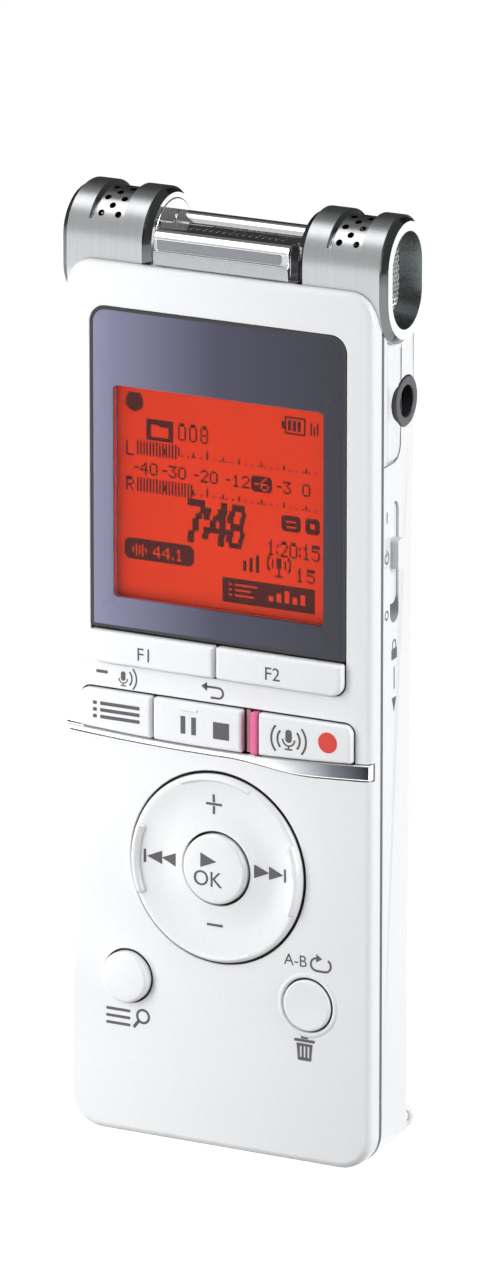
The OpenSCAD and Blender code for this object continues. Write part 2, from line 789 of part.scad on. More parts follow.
front_cover();
rear_housing();
display_frame();
display_lens();
lcd_panel();
lcd_backlight();
lcd_holder();
chrome_trim();
record_light_pipe();
main_board();
key_board();
key_switches();
board_ribbon();
left_side_insert();
right_side_insert();
mic_jack_collar();
mic_jack_body();
earphone_jack_collar();
earphone_jack_body();
left_mic_barrel();
right_mic_barrel();
left_mic_mesh();
right_mic_mesh();
left_mic_holder();
right_mic_holder();
left_mic_capsule();
right_mic_capsule();
left_barrel_cap();
right_barrel_cap();
centre_mic_bar();
centre_mic_capsule();
rear_rail();
mic_ribbon();
speaker();
battery_cell();
battery_spring();
battery_plate();
case_screws();
strap_staple();
power_switch_body();
power_slider();
f1_key();
f2_key();
menu_key();
stop_key();
record_key();
record_key_strip();
cursor_ring();
ring_rocker();
ok_button();
list_button();
erase_button();
battery_door();
usb_plug();
usb_carriage();
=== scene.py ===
"""Looks of the pocket field recorder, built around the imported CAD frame.

Lengths are millimetres until they enter a mesh. "Depth" counts backwards from the cover's
front face, and outlines are drawn as (x, height) seen from the front.
"""
import json
import math

import bmesh
import bpy
import numpy as np
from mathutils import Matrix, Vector
from mathutils.geometry import delaunay_2d_cdt


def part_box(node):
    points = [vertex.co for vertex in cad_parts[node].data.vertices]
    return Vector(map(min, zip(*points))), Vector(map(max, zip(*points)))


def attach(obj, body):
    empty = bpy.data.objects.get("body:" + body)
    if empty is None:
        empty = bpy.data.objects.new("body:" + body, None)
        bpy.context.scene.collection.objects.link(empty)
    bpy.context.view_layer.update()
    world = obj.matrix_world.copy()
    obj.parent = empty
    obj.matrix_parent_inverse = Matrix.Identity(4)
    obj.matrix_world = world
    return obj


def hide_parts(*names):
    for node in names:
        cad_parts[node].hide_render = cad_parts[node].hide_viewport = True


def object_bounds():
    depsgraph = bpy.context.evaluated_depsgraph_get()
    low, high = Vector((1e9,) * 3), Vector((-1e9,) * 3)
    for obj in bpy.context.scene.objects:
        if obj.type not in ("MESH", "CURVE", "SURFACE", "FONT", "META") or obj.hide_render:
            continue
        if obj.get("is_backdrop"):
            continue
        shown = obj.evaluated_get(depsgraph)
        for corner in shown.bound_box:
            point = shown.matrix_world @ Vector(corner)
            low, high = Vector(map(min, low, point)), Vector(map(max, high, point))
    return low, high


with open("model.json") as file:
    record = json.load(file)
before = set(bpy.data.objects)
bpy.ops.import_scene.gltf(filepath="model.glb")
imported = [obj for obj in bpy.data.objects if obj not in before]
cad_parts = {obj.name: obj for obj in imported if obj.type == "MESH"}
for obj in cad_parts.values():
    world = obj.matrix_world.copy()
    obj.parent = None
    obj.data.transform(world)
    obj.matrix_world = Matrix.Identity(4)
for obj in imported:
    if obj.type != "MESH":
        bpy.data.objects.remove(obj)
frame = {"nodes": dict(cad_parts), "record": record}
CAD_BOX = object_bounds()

MM = 0.001
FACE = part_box("front_cover")[0].y / MM
NODES = frame["nodes"]
ROUND = 96
# How far a side wall leans in per millimetre of depth, below and beside the barrels, and the
# heights between which the first turns into the second
LEAN, LEAN_Z = (0.132, 0.07), (77, 88)
# Thickness of printed ink on either side of its surface
INK_THICK = 0.025


def span(node):
    """A CAD node's box in millimetres as its x, depth and height ranges."""
    low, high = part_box(node)
    return ((low.x / MM, high.x / MM), (low.y / MM - FACE, high.y / MM - FACE),
            (low.z / MM, high.z / MM))


def middle(limits):
    return (limits[0] + limits[1]) / 2


def grown(limits, by):
    return limits[0] - by, limits[1] + by


def smooth(t):
    t = min(1.0, max(0.0, t))
    return t * t * (3 - 2 * t)


def leaned(x, depth, z, start=2.7, ramp=(15.5, 18.5)):
    """Where a point goes as the side walls lean in towards the back, less beside the barrels."""
    slope = LEAN[0] + (LEAN[1] - LEAN[0]) * smooth((z - LEAN_Z[0]) / (LEAN_Z[1] - LEAN_Z[0]))
    share = smooth((abs(x) - ramp[0]) / (ramp[1] - ramp[0]))
    return x - math.copysign(share * slope * max(0.0, depth - start), x)


# ---- outlines ----

def arc(centre, radius, start, end, steps):
    """Points along an arc, angles in degrees counted from +X towards +Z."""
    turns = [math.radians(a) for a in np.linspace(start, end, steps)]
    return [(centre[0] + radius * math.cos(t), centre[1] + radius * math.sin(t)) for t in turns]


def circle(centre, radius, steps=ROUND):
    return arc(centre, radius, 0, 360, steps + 1)[:-1]


def panel(x, z, radii, inset=0.0, steps=9):
    """Rectangle with its own radius at each corner: low left, low right, high right, high left."""
    x, z = grown(x, -inset), grown(z, -inset)
    corners = ((x[0], z[0], 1, 1, 180), (x[1], z[0], -1, 1, 270),
               (x[1], z[1], -1, -1, 0), (x[0], z[1], 1, -1, 90))
    points = []
    for (cx, cz, sx, sz, start), radius in zip(corners, radii):
        r = max(radius - inset, 0.02)
        points += arc((cx + sx * r, cz + sz * r), r, start, start + 90, steps)
    return points


def obround(depth, z, radius, half, steps=48):
    """Two half circles joined by straight sides, as (depth, height) points."""
    return arc((depth, z + half), radius, 0, 180, steps) + arc((depth, z - half), radius, 180, 360, steps)


def inside(point, loop):
    """Whether a closed loop goes round a point."""
    hit = False
    for (ax, az), (bx, bz) in zip(loop, loop[1:] + loop[:1]):
        if (az > point[1]) != (bz > point[1]):
            hit ^= point[0] < ax + (point[1] - az) / (bz - az) * (bx - ax)
    return hit


# ---- mesh building ----

class Form:
    """Collects points as (x, depth, height) and faces, and turns them into one object."""

    def __init__(self):
        self.points, self.faces, self.slots = [], [], []

    def add(self, points):
        first = len(self.points)
        self.points += [tuple(p) for p in points]
        return list(range(first, len(self.points)))

    def ring(self, outline, depth):
        """An outline at one depth, or at the depth that a function gives for each point."""
        at = depth if callable(depth) else (lambda x, z: depth)
        return self.add([(x, at(x, z), z) for x, z in outline])

    def face(self, indices, slot=0):
        self.faces.append(tuple(indices))
        self.slots.append(slot)

    def bridge(self, a, b, slot=0):
        n = len(a)
        for i in range(n):
            j = (i + 1) % n
            self.face((a[i], a[j], b[j], b[i]), slot)

    def fill(self, loop, holes=(), slot=0, plane=(0, 2)):
        """Closes a loop with triangles, leaving the holes open."""
        flat = lambda i: (self.points[i][plane[0]], self.points[i][plane[1]])
        loops = [loop, *holes]
        known = [i for one in loops for i in one]
        edges, first = [], 0
        for one in loops:
            edges += [(first + k, first + (k + 1) % len(one)) for k in range(len(one))]
            first += len(one)
        cut = [[flat(i) for i in hole] for hole in holes]
        result = delaunay_2d_cdt([Vector(flat(i)) for i in known], edges, [], 1, 1e-6)
        for triangle in result[2]:
            centre = tuple(sum(result[0][i][k] for i in triangle) / 3 for k in (0, 1))
            if not any(inside(centre, hole) for hole in cut):
                self.face([known[result[3][i][0]] for i in triangle], slot)

    def prism(self, outline, front, back):
        a, b = self.ring(outline, front), self.ring(outline, back)
        self.bridge(a, b)
        self.fill(a)
        self.fill(b)

    def block(self, x, depth, z):
        corners = [(x[0], z[0]), (x[1], z[0]), (x[1], z[1]), (x[0], z[1])]
        a, b = self.ring(corners, depth[0]), self.ring(corners, depth[1])
        self.bridge(a, b)
        self.face(a)
        self.face(b)

    def slab(self, outline, front, back, edge, holes=(), hole_edge=0.1, steps=6, waist=None):
        """Plate with a rounded front edge. outline and holes are functions of an inset.
        Behind the waist the wall takes the piece's second material, which on the keys is painted shade in
        the gap."""
        rim = self.ring(outline(0), back)
        walls = [rim]
        if waist is not None:
            walls.append(self.ring(outline(0), waist))
            self.bridge(*walls, 1)
        for t in np.linspace(0, math.pi / 2, steps + 1):
            ring = self.ring(outline(edge * (1 - math.cos(t))), front + edge * (1 - math.sin(t)))
            self.bridge(walls[-1], ring)
            walls.append(ring)
        cuts_front, cuts_back = [], []
        for hole in holes:
            rings = [self.ring(hole(0), back)]
            for t in np.linspace(0, math.pi / 2, 4):
                inset = hole_edge * (1 - math.cos(t))
                rings.append(self.ring(hole(-inset), front + hole_edge * (1 - math.sin(t))))
                self.bridge(rings[-2], rings[-1])
            cuts_front.append(rings[-1])
            cuts_back.append(rings[0])
        self.fill(walls[-1], cuts_front)
        return rim, cuts_back

    def lathe(self, profile, centre, steps=ROUND):
        """Turns (radius, depth) points about an axis that runs straight back, closing the shape.
        What lies behind the cover's face takes the piece's second material, which on each lathe piece here
        is painted shade."""
        rings = []
        for radius, depth in profile:
            if radius < 1e-6:
                rings.append(self.add([(centre[0], depth, centre[1])]))
            else:
                rings.append(self.ring(circle(centre, radius, steps), depth))
        closed = len(rings[0]) > 1
        pairs = list(zip(rings, rings[1:])) + ([(rings[-1], rings[0])] if closed else [])
        for a, b in pairs:
            slot = 1 if min(self.points[a[0]][1], self.points[b[0]][1]) > 0 else 0
            if len(a) == 1 or len(b) == 1:
                hub, rim = (a, b) if len(a) == 1 else (b, a)
                for i in range(len(rim)):
                    self.face((hub[0], rim[i], rim[(i + 1) % len(rim)]), slot)
            else:
                self.bridge(a, b, slot)

    def build(self, name, materials, body, slot, replaces=(), sharp=32, weighted=True):
        mesh = bpy.data.meshes.new(name)
        mesh.from_pydata([(x * MM, (FACE + d) * MM, z * MM) for x, d, z in self.points], [], self.faces)
        for material in materials if isinstance(materials, (list, tuple)) else [materials]:
            mesh.materials.append(material)
        mesh.polygons.foreach_set("material_index", self.slots)
        bm = bmesh.new()
        bm.from_mesh(mesh)
        bmesh.ops.remove_doubles(bm, verts=bm.verts, dist=1e-7)
        bmesh.ops.recalc_face_normals(bm, faces=bm.faces)
        bm.to_mesh(mesh)
        bm.free()
        piece = bpy.data.objects.new(name, mesh)
        bpy.context.scene.collection.objects.link(piece)
        return settle(piece, body, slot, replaces, sharp, weighted)


def settle(piece, body, slot, replaces=(), sharp=32, weighted=True):
    """Smooths a piece, and says what it rides on and stands for. The finish slot it is given is not used.
    """
    mesh = piece.data
    mesh.polygons.foreach_set("use_smooth", [True] * len(mesh.polygons))
    mesh.set_sharp_from_angle(angle=math.radians(sharp))
    if weighted:
        normals = piece.modifiers.new("Weighted", "WEIGHTED_NORMAL")
        normals.keep_sharp = True
        normals.weight = 90
    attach(piece, body)
    if replaces:
        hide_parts(*replaces)
    return piece


def carve(piece, cutter):
    """Cuts one piece with another, which is then removed."""
    tool = piece.modifiers.new("Cut", "BOOLEAN")
    tool.operation, tool.solver, tool.object = "DIFFERENCE", "EXACT", cutter
    piece.modifiers.move(len(piece.modifiers) - 1, 0)
    bpy.context.view_layer.update()
    others = [m for m in piece.modifiers if m.name != "Cut"]
    for m in others:
        m.show_viewport = False
    shape = bpy.data.meshes.new_from_object(piece.evaluated_get(bpy.context.evaluated_depsgraph_get()))
    for m in others:
        m.show_viewport = True
    piece.modifiers.remove(tool)
    name = piece.data.name
    old, piece.data = piece.data, shape
    bpy.data.meshes.remove(old)
    shape.name = name
    shape.set_sharp_from_angle(angle=math.radians(32))
    bpy.data.objects.remove(cutter)


# ---- materials ----

def surface(name, colour, rough, metallic=0.0, grain=1500, stretch=(1, 1, 1), spread=0.04, tint=0.04,
            bump=0.1, coat=0.0, ior=1.5):
    """Shader with fine colour, roughness and bump variation at the grain's scale, per metre."""
    material = bpy.data.materials.new(name)
    material.use_nodes = True
    nodes, links = material.node_tree.nodes, material.node_tree.links
    shader = nodes["Principled BSDF"]
    shader.inputs["Metallic"].default_value = metallic
    shader.inputs["IOR"].default_value = ior
    shader.inputs["Coat Weight"].default_value = coat
    shader.inputs["Coat Roughness"].default_value = 0.06
    place = nodes.new("ShaderNodeTexCoord")
    mapping = nodes.new("ShaderNodeMapping")
    mapping.inputs["Scale"].default_value = stretch
    noise = nodes.new("ShaderNodeTexNoise")
    noise.inputs["Scale"].default_value = grain
    noise.inputs["Detail"].default_value = 4
    links.new(place.outputs["Object"], mapping.inputs["Vector"])
    links.new(mapping.outputs["Vector"], noise.inputs["Vector"])
    ramp = nodes.new("ShaderNodeValToRGB")
    ramp.color_ramp.elements[0].color = (*[c * (1 - tint) for c in colour], 1)
    ramp.color_ramp.elements[1].color = (*[min(1, c * (1 + tint)) for c in colour], 1)
    ramp.color_ramp.elements[0].position, ramp.color_ramp.elements[1].position = 0.3, 0.7
    links.new(noise.outputs["Fac"], ramp.inputs["Fac"])
    links.new(ramp.outputs["Color"], shader.inputs["Base Color"])
    rough_map = nodes.new("ShaderNodeMapRange")
    rough_map.inputs["To Min"].default_value = max(0.01, rough - spread)
    rough_map.inputs["To Max"].default_value = rough + spread
    links.new(noise.outputs["Fac"], rough_map.inputs["Value"])
    links.new(rough_map.outputs["Result"], shader.inputs["Roughness"])
    relief = nodes.new("ShaderNodeBump")
    relief.inputs["Strength"].default_value = bump
    relief.inputs["Distance"].default_value = 0.00003
    links.new(noise.outputs["Fac"], relief.inputs["Height"])
    links.new(relief.outputs["Normal"], shader.inputs["Normal"])
    return material


def srgb(red, green, blue):
    """Scene-linear colour from display values out of 255."""
    levels = (red / 255, green / 255, blue / 255)
    return tuple(c / 12.92 if c <= 10 / 255 else ((c + 0.055) / 1.055) ** 2.4 for c in levels)


def shader_of(material):
    return material.node_tree.nodes["Principled BSDF"]


def across(material, low, high, colours):
    """Colour output of a ramp across the object's width, between low and high in metres."""
    nodes, links = material.node_tree.nodes, material.node_tree.links
    place = nodes.new("ShaderNodeTexCoord")
    split = nodes.new("ShaderNodeSeparateXYZ")
    scale = nodes.new("ShaderNodeMapRange")
    scale.inputs["From Min"].default_value, scale.inputs["From Max"].default_value = low, high
    ramp = nodes.new("ShaderNodeValToRGB")
    steps = ramp.color_ramp.elements
    while len(steps) < len(colours):
        steps.new(0.5)
    for step, (where, colour) in zip(steps, colours):
        step.position, step.color = where, (*colour, 1)
    links.new(place.outputs["Object"], split.inputs["Vector"])
    links.new(split.outputs["X"], scale.inputs["Value"])
    links.new(scale.outputs["Result"], ramp.inputs["Fac"])
    return ramp.outputs["Color"]


WHITE = surface("WhitePlastic", (0.83, 0.84, 0.855), 0.2, grain=1800, tint=0.012, bump=0.05, coat=0.25)
SIDE = surface("SidePanel", (0.8, 0.81, 0.83), 0.22, grain=2600, tint=0.015, bump=0.08, coat=0.2)
BEZEL = surface("DisplayBezel", (0.1, 0.1, 0.16), 0.2, grain=2200, stretch=(1, 1, 0.02), spread=0.03,
                bump=0.05, coat=0.1)
CLEAR = surface("ClearWindow", (0.97, 0.97, 0.97), 0.03, grain=400, spread=0.01, tint=0.01, bump=0.01)
LCD = surface("LcdFace", srgb(232, 50, 0), 0.5, grain=900, tint=0.02, bump=0.02)
SEGMENT = surface("LcdSegment", srgb(70, 8, 2), 0.5, grain=1500, tint=0.08, bump=0.02)
CHROME = surface("Chrome", (0.78, 0.79, 0.81), 0.08, 1.0, grain=900, spread=0.02, tint=0.02, bump=0.02)
BRUSHED = surface("BrushedMetal", (0.56, 0.57, 0.58), 0.33, 1.0, grain=1, stretch=(12000, 90, 90),
                  spread=0.07, tint=0.06, bump=0.16)
# Turned facets and chamfers: a smoother, finer-grained finish, with a dark base colour that is a painted
# reflection on the same metal
FACET_PAINTED_REFLECTION = surface("TurnedFacetPaintedReflection", (0.17, 0.18, 0.18), 0.16, 1.0, grain=1, stretch=(2500, 40, 40), spread=0.04,
                tint=0.06, bump=0.05)
POLISHED = surface("PolishedCap", (0.85, 0.85, 0.86), 0.1, 1.0, grain=1200, spread=0.03,
                   tint=0.02, bump=0.02)
BLASTED = surface("BlastedMetal", (0.42, 0.43, 0.44), 0.42, 1.0, grain=9000, spread=0.1,
                  tint=0.18, bump=0.6)
BAND = surface("GreyBand", (0.25, 0.26, 0.28), 0.34, 0.8, grain=6000, tint=0.1, bump=0.2)
SATIN = surface("SatinMetal", (0.6, 0.61, 0.62), 0.25, 1.0, grain=3000, tint=0.05, bump=0.08)
# Darker metal inside the barrel mouths: painted shade of the recess
PAINTED_BORE_SHADE = surface("MouthBorePaintedShade", (0.24, 0.26, 0.26), 0.28, 1.0, grain=3000, tint=0.06, bump=0.1)
MESH = surface("PunchedMesh", (0.8, 0.81, 0.8), 0.36, 1.0, grain=5000, tint=0.1, bump=0.2)
PINK = surface("StripPink", srgb(232, 92, 150), 0.3, grain=1800, tint=0.03, bump=0.05, coat=0.2)
PIPE = surface("LightPipe", srgb(190, 130, 140), 0.25, grain=1400, tint=0.04, bump=0.05)
INK = surface("GreyInk", srgb(78, 78, 80), 0.45, grain=5000, tint=0.06, bump=0.1)
RED_INK = surface("RedInk", srgb(214, 44, 30), 0.4, grain=5000, tint=0.05, bump=0.1)
# Dark colour for walls deep in the gaps between parts: painted shade, on parts whose plastic is white there
PAINTED_GAP_SHADE = surface("PaintedGapShade", (0.08, 0.08, 0.085), 0.7, grain=2500, tint=0.1, bump=0.05)
# Dark grey of the band in the seam between cover and housing: painted shade
PAINTED_SEAM_SHADE = surface("PaintedSeamShade", (0.14, 0.145, 0.15), 0.5, grain=2600, tint=0.06, bump=0.1)
BLACK = surface("BlackPlastic", (0.02, 0.02, 0.022), 0.42, grain=3500, tint=0.15, bump=0.2)
COLLAR = surface("JackCollar", (0.035, 0.036, 0.04), 0.3, grain=3000, tint=0.12, bump=0.12)
RUBBER = surface("MicRubber", (0.03, 0.03, 0.03), 0.6, grain=2500, tint=0.15, bump=0.25)
BOARD = surface("CircuitBoard", (0.02, 0.11, 0.05), 0.45, grain=1200, tint=0.3, bump=0.25)
CONTACT = surface("ContactMetal", (0.72, 0.68, 0.6), 0.3, 1.0, grain=3000, tint=0.08, bump=0.15)
CABLE = surface("FlatCable", (0.55, 0.3, 0.12), 0.4, grain=1, stretch=(4000, 1, 30), tint=0.2, bump=0.1)
SLEEVE = surface("BatterySleeve", (0.06, 0.25, 0.14), 0.35, grain=1500, tint=0.05, bump=0.05, coat=0.3)
GUIDE = surface("LightGuide", (0.95, 0.75, 0.6), 0.3, grain=1500, tint=0.03, bump=0.05)
CARD = surface("StudioCard", (0.02, 0.02, 0.022), 0.9, grain=60, tint=0.05, bump=0.02)
FLOOR = surface("StudioFloor", (0.9, 0.9, 0.91), 0.6, grain=60, tint=0.01, bump=0.02)

shader_of(CLEAR).inputs["Transmission Weight"].default_value = 1.0
shader_of(CLEAR).inputs["IOR"].default_value = 1.2


def light_up(material, colour, strength):
    shader_of(material).inputs["Emission Color"].default_value = (*colour, 1)
    shader_of(material).inputs["Emission Strength"].default_value = strength


light_up(LCD, srgb(233, 62, 18), 0.24)
light_up(SEGMENT, srgb(120, 16, 3), 0.12)
for dull in (LCD, SEGMENT):
    shader_of(dull).inputs["Specular IOR Level"].default_value = 0.1
light_up(FLOOR, (1, 1, 1), 0.74)


# ---- camera, lights and floor ----

VIEW_AZIMUTH, VIEW_HEIGHT, VIEW_DISTANCE = 29.12, 15.34, 1200
LENS, SENSOR = 294.4, 36.0
AIM = (0, 0, 55.7)
AIM_RIGHT, AIM_UP = -0.304, 3.47


def aim_object(thing, place, target):
    thing.location = place
    thing.rotation_euler = (Vector(target) - Vector(place)).to_track_quat("-Z", "Y").to_euler()


def make_camera():
    turn, rise = math.radians(VIEW_AZIMUTH), math.radians(VIEW_HEIGHT)
    back = Vector((math.sin(turn) * math.cos(rise), -math.cos(turn) * math.cos(rise), math.sin(rise)))
    right = Vector((math.cos(turn), math.sin(turn), 0))
    up = back.cross(right)
    data = bpy.data.cameras.new("Camera")
    data.lens, data.sensor_width, data.sensor_fit = LENS, SENSOR, "AUTO"
    data.clip_start, data.clip_end = 0.05, 50
    camera = bpy.data.objects.new("Camera", data)
    bpy.context.scene.collection.objects.link(camera)
    target = (Vector(AIM) + AIM_RIGHT * right + AIM_UP * up) * MM
    aim_object(camera, target + back * VIEW_DISTANCE * MM, target)
    bpy.context.scene.camera = camera


def softbox(name, place, size, power, mirrored=True, target=(0, 0, 0.06)):
    """Area light aimed at the object. Where it isn't mirrored, it leaves no highlight of its own."""
    data = bpy.data.lights.new(name, "AREA")
    data.shape, data.size, data.size_y = "RECTANGLE", *size
    data.energy = power
    lamp = bpy.data.objects.new(name, data)
    bpy.context.scene.collection.objects.link(lamp)
    lamp.visible_camera, lamp.visible_glossy, lamp.visible_transmission = False, mirrored, mirrored
    aim_object(lamp, place, target)


def stage_plane(name, corners, material):
    mesh = bpy.data.meshes.new(name)
    mesh.from_pydata(corners, [], [(0, 1, 2, 3)])
    mesh.materials.append(material)
    sheet = bpy.data.objects.new(name, mesh)
    bpy.context.scene.collection.objects.link(sheet)
    sheet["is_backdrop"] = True
    return sheet


def flag(name, place, size):
    """Dark card that only reflections see, as a photographer sets one to give white edges a line."""
    wide, high = size[0] / 2, size[1] / 2
    card = stage_plane(name, [(-wide, 0, -high), (wide, 0, -high), (wide, 0, high), (-wide, 0, high)], CARD)
    card.location = place
    card.rotation_euler = (0, 0, math.radians(VIEW_AZIMUTH))
    card.visible_camera = card.visible_diffuse = card.visible_shadow = card.visible_transmission = False


def make_studio():
    world = bpy.data.worlds.new("Studio")
    world.use_nodes = True
    environment = world.node_tree
    environment.nodes["Background"].inputs["Strength"].default_value = 0.2
    place = environment.nodes.new("ShaderNodeTexCoord")
    split = environment.nodes.new("ShaderNodeSeparateXYZ")
    sky = environment.nodes.new("ShaderNodeValToRGB")
    for step, (where, level) in zip([*sky.color_ramp.elements, sky.color_ramp.elements.new(0.5)],
                                    [(0.0, 1.0), (1.0, 0.08), (0.45, 0.75)]):
        step.position, step.color = where, (level, level, level, 1)
    environment.links.new(place.outputs["Generated"], split.inputs["Vector"])
    environment.links.new(split.outputs["Z"], sky.inputs["Fac"])
    environment.links.new(sky.outputs["Color"], environment.nodes["Background"].inputs["Color"])
    bpy.context.scene.world = world
    bpy.context.scene.view_settings.view_transform = "Standard"
    reach = 6
    corners = [(-reach, -reach, 0), (reach, -reach, 0), (reach, reach, 0), (-reach, reach, 0)]
    floor = stage_plane("StudioFloor", corners, FLOOR)
    floor.visible_diffuse = False
    softbox("KeyLight", (-0.6, -0.65, 0.45), (0.8, 0.8), 1.0)
    softbox("NearLight", (-0.115, -0.12, 0.07), (0.08, 0.24), 0.37, mirrored=False)
    softbox("FillLight", (0.8, -0.05, 0.3), (0.3, 0.7), 7.2)
    softbox("TopLight", (-0.3, -0.17, 0.62), (0.36, 0.24), 0.6)
    flag("BackFlag", (-0.16, 0.3, 0.2), (0.5, 0.55))


# ---- case ----

COVER = span("front_cover")
DISPLAY = span("display_frame")
RING = span("cursor_ring")
BARREL = span("right_mic_barrel")
TRIM = span("chrome_trim")
ROW = {node: span(node) for node in ("menu_key", "stop_key", "record_key", "record_key_strip",
                                     "record_light_pipe")}

COVER_RADII = (4.3, 4.3, 3.3, 3.3)
COVER_EDGE, COVER_WALL, COVER_PLATE, COVER_BACK = 0.9, 1.2, 1.1, 2.1
HOLE_EDGE, TRIM_GAP = 0.16, 0.13
# The seam band behind the cover, a dark band that paints the shade in the seam: how far in from the wall,
# and its depths
PAINTED_SEAM_SHADE_INSET, PAINTED_SEAM_SHADE_DEPTH = (0.18, 0.9), (1.9, 2.75)
KEY_GAP, SEAT = 0.15, 0.05
ROW_TOP, ROW_CORNER = 53.2, 1.1
F_KEY_X, F_KEY_Z, F_CORNER = (0.12, 16.5), (56.4, 60.25), 1.5
RING_CENTRE = (0.0, middle(RING[2]))
RING_RADIUS = (RING[0][1] - RING[0][0]) / 2
BUTTON_RADIUS, BUTTON_GAP = 3.05, 0.2
OK_PROUD, OK_CROWN = 1.05, -0.08
TRIM_CENTRE_X, TRIM_SAG, TRIM_LOW = -1, 0.0019, 47.95
TRIM_THIN, TRIM_FAT, TRIM_SWELL = 0.75, 1.85, (1, 12)
BARREL_Z, BARREL_DEPTH = middle(BARREL[2]), middle(BARREL[1])
BARREL_R = (BARREL[1][1] - BARREL[1][0]) / 2
BARREL_HALF = (BARREL[2][1] - BARREL[2][0]) / 2 - BARREL_R


def trim_top(x):
    return TRIM_LOW + TRIM_SAG * (x - TRIM_CENTRE_X) ** 2


def trim_thickness(x):
    share = smooth((x - TRIM_SWELL[0]) / (TRIM_SWELL[1] - TRIM_SWELL[0]))
    return TRIM_THIN + (TRIM_FAT - TRIM_THIN) * share


def trim_outline(inset):
    xs = np.linspace(TRIM[0][0] + inset, TRIM[0][1] - inset, 41)
    low = [(x, trim_top(x) - trim_thickness(x) + inset) for x in xs]
    return low + [(x, trim_top(x) - inset) for x in xs[::-1]]


def row_outline(x, low, top, corners, inset):
    """Key in the row above the trim, whose lower edge follows the trim."""
    x, top = grown(x, -inset), top - inset
    small = 0.25
    left, right = (max(r - inset, 0.03) for r in corners)
    foot = max(small - inset, 0.03)
    xs = np.linspace(x[0] + foot, x[1] - foot, 13)
    base = lambda at: trim_top(at) + low + inset
    points = arc((x[0] + foot, base(x[0]) + foot), foot, 180, 265, 5)
    points += [(at, base(at)) for at in xs[1:-1]]
    points += arc((x[1] - foot, base(x[1]) + foot), foot, 275, 360, 5)
    points += arc((x[1] - right, top - right), right, 0, 90, 9)
    return points + arc((x[0] + left, top - left), left, 90, 180, 9)


def centre_of(node):
    x, _, z = span(node)
    return middle(x), middle(z)


def make_cover():
    """White front shell with its openings, a dark band behind it that paints the shade in the seam, and the
    seats cut for the barrels.
    """
    erase, list_ = centre_of("erase_button"), centre_of("list_button")
    opening = grown(DISPLAY[0], SEAT), (F_KEY_Z[0] - KEY_GAP, DISPLAY[2][1] + SEAT)
    row_x = ROW["menu_key"][0][0] - KEY_GAP, ROW["record_key"][0][1] + KEY_GAP
    holes = [
        lambda i: panel(*opening, (1.65, 1.65, 2, 2), i),
        lambda i: row_outline(row_x, 0, ROW_TOP + KEY_GAP, (ROW_CORNER + KEY_GAP,) * 2, i),
        lambda i: circle(RING_CENTRE, RING_RADIUS + 0.3 - i),
        lambda i: circle(list_, BUTTON_RADIUS + BUTTON_GAP - i),
        lambda i: circle(erase, BUTTON_RADIUS + BUTTON_GAP - i),
    ]
    form = Form()
    outer = lambda i: panel(COVER[0], COVER[2], COVER_RADII, i, 13)
    rim = form.ring(outer(0), COVER_BACK)
    wall = rim
    for t in np.linspace(0, math.pi / 2, 9):
        turn = form.ring(outer(COVER_EDGE * (1 - math.cos(t))), COVER_EDGE * (1 - math.sin(t)))
        form.bridge(wall, turn)
        wall = turn
    fronts, backs = [], []
    for hole in holes:
        rings = [form.ring(hole(0), COVER_PLATE)]
        for t in np.linspace(0, math.pi / 2, 5):
            rings.append(form.ring(hole(-HOLE_EDGE * (1 - math.cos(t))), HOLE_EDGE * (1 - math.sin(t))))
            # Each opening's wall behind its edge rounding takes the second material, painted shade in the
            # opening
            form.bridge(rings[-2], rings[-1], 1 if t == 0 else 0)
        fronts.append(rings[-1])
        backs.append(rings[0])
    form.fill(wall, fronts)
    inner_back = form.ring(outer(COVER_WALL), COVER_BACK)
    inner_front = form.ring(outer(COVER_WALL), COVER_PLATE)
    form.bridge(rim, inner_back)
    form.bridge(inner_back, inner_front)
    form.fill(inner_front, backs)
    cover = form.build("CoverShell", [WHITE, PAINTED_GAP_SHADE], "case", "white_plastic", ["front_cover"])
    # Dark band just inside the seam: painted shade standing for the shadow in the gap between cover and
    # housing
    seam_shade_form = Form()
    (near, far), (front, back) = PAINTED_SEAM_SHADE_INSET, PAINTED_SEAM_SHADE_DEPTH
    band = [seam_shade_form.ring(outer(i), d) for i, d in ((near, front), (near, back), (far, back), (far, front))]
    for a, b in zip(band, band[1:] + band[:1]):
        seam_shade_form.bridge(a, b)
    seam = seam_shade_form.build("PaintedSeamShade", PAINTED_SEAM_SHADE, "case", "inner_black")
    groove = Form()
    groove.prism([(x * 1.03, z) for x, z in trim_outline(-TRIM_GAP)], -1, 0.8)
    # All the groove's cut walls take the second material, a painted dark outline for the shade in the
    # groove round the trim
    groove.slots = [1] * len(groove.slots)
    carve(cover, groove.build("GrooveCutter", [WHITE, PAINTED_GAP_SHADE], "case", "white_plastic", weighted=False))
    seat = obround(BARREL_DEPTH, BARREL_Z, BARREL_R + SEAT, BARREL_HALF)
    for side in (-1, 1):
        for piece in (cover, seam):
            cutter = Form()
            ends = [cutter.add([(side * x, d, z) for d, z in seat])
                    for x in (BARREL[0][0] - KEY_GAP, BARREL[0][1] + 1)]
            cutter.bridge(*ends)
            for end in ends:
                cutter.fill(end, plane=(1, 2))
            carve(piece, cutter.build("SeatCutter", WHITE, "case", "white_plastic", weighted=False))


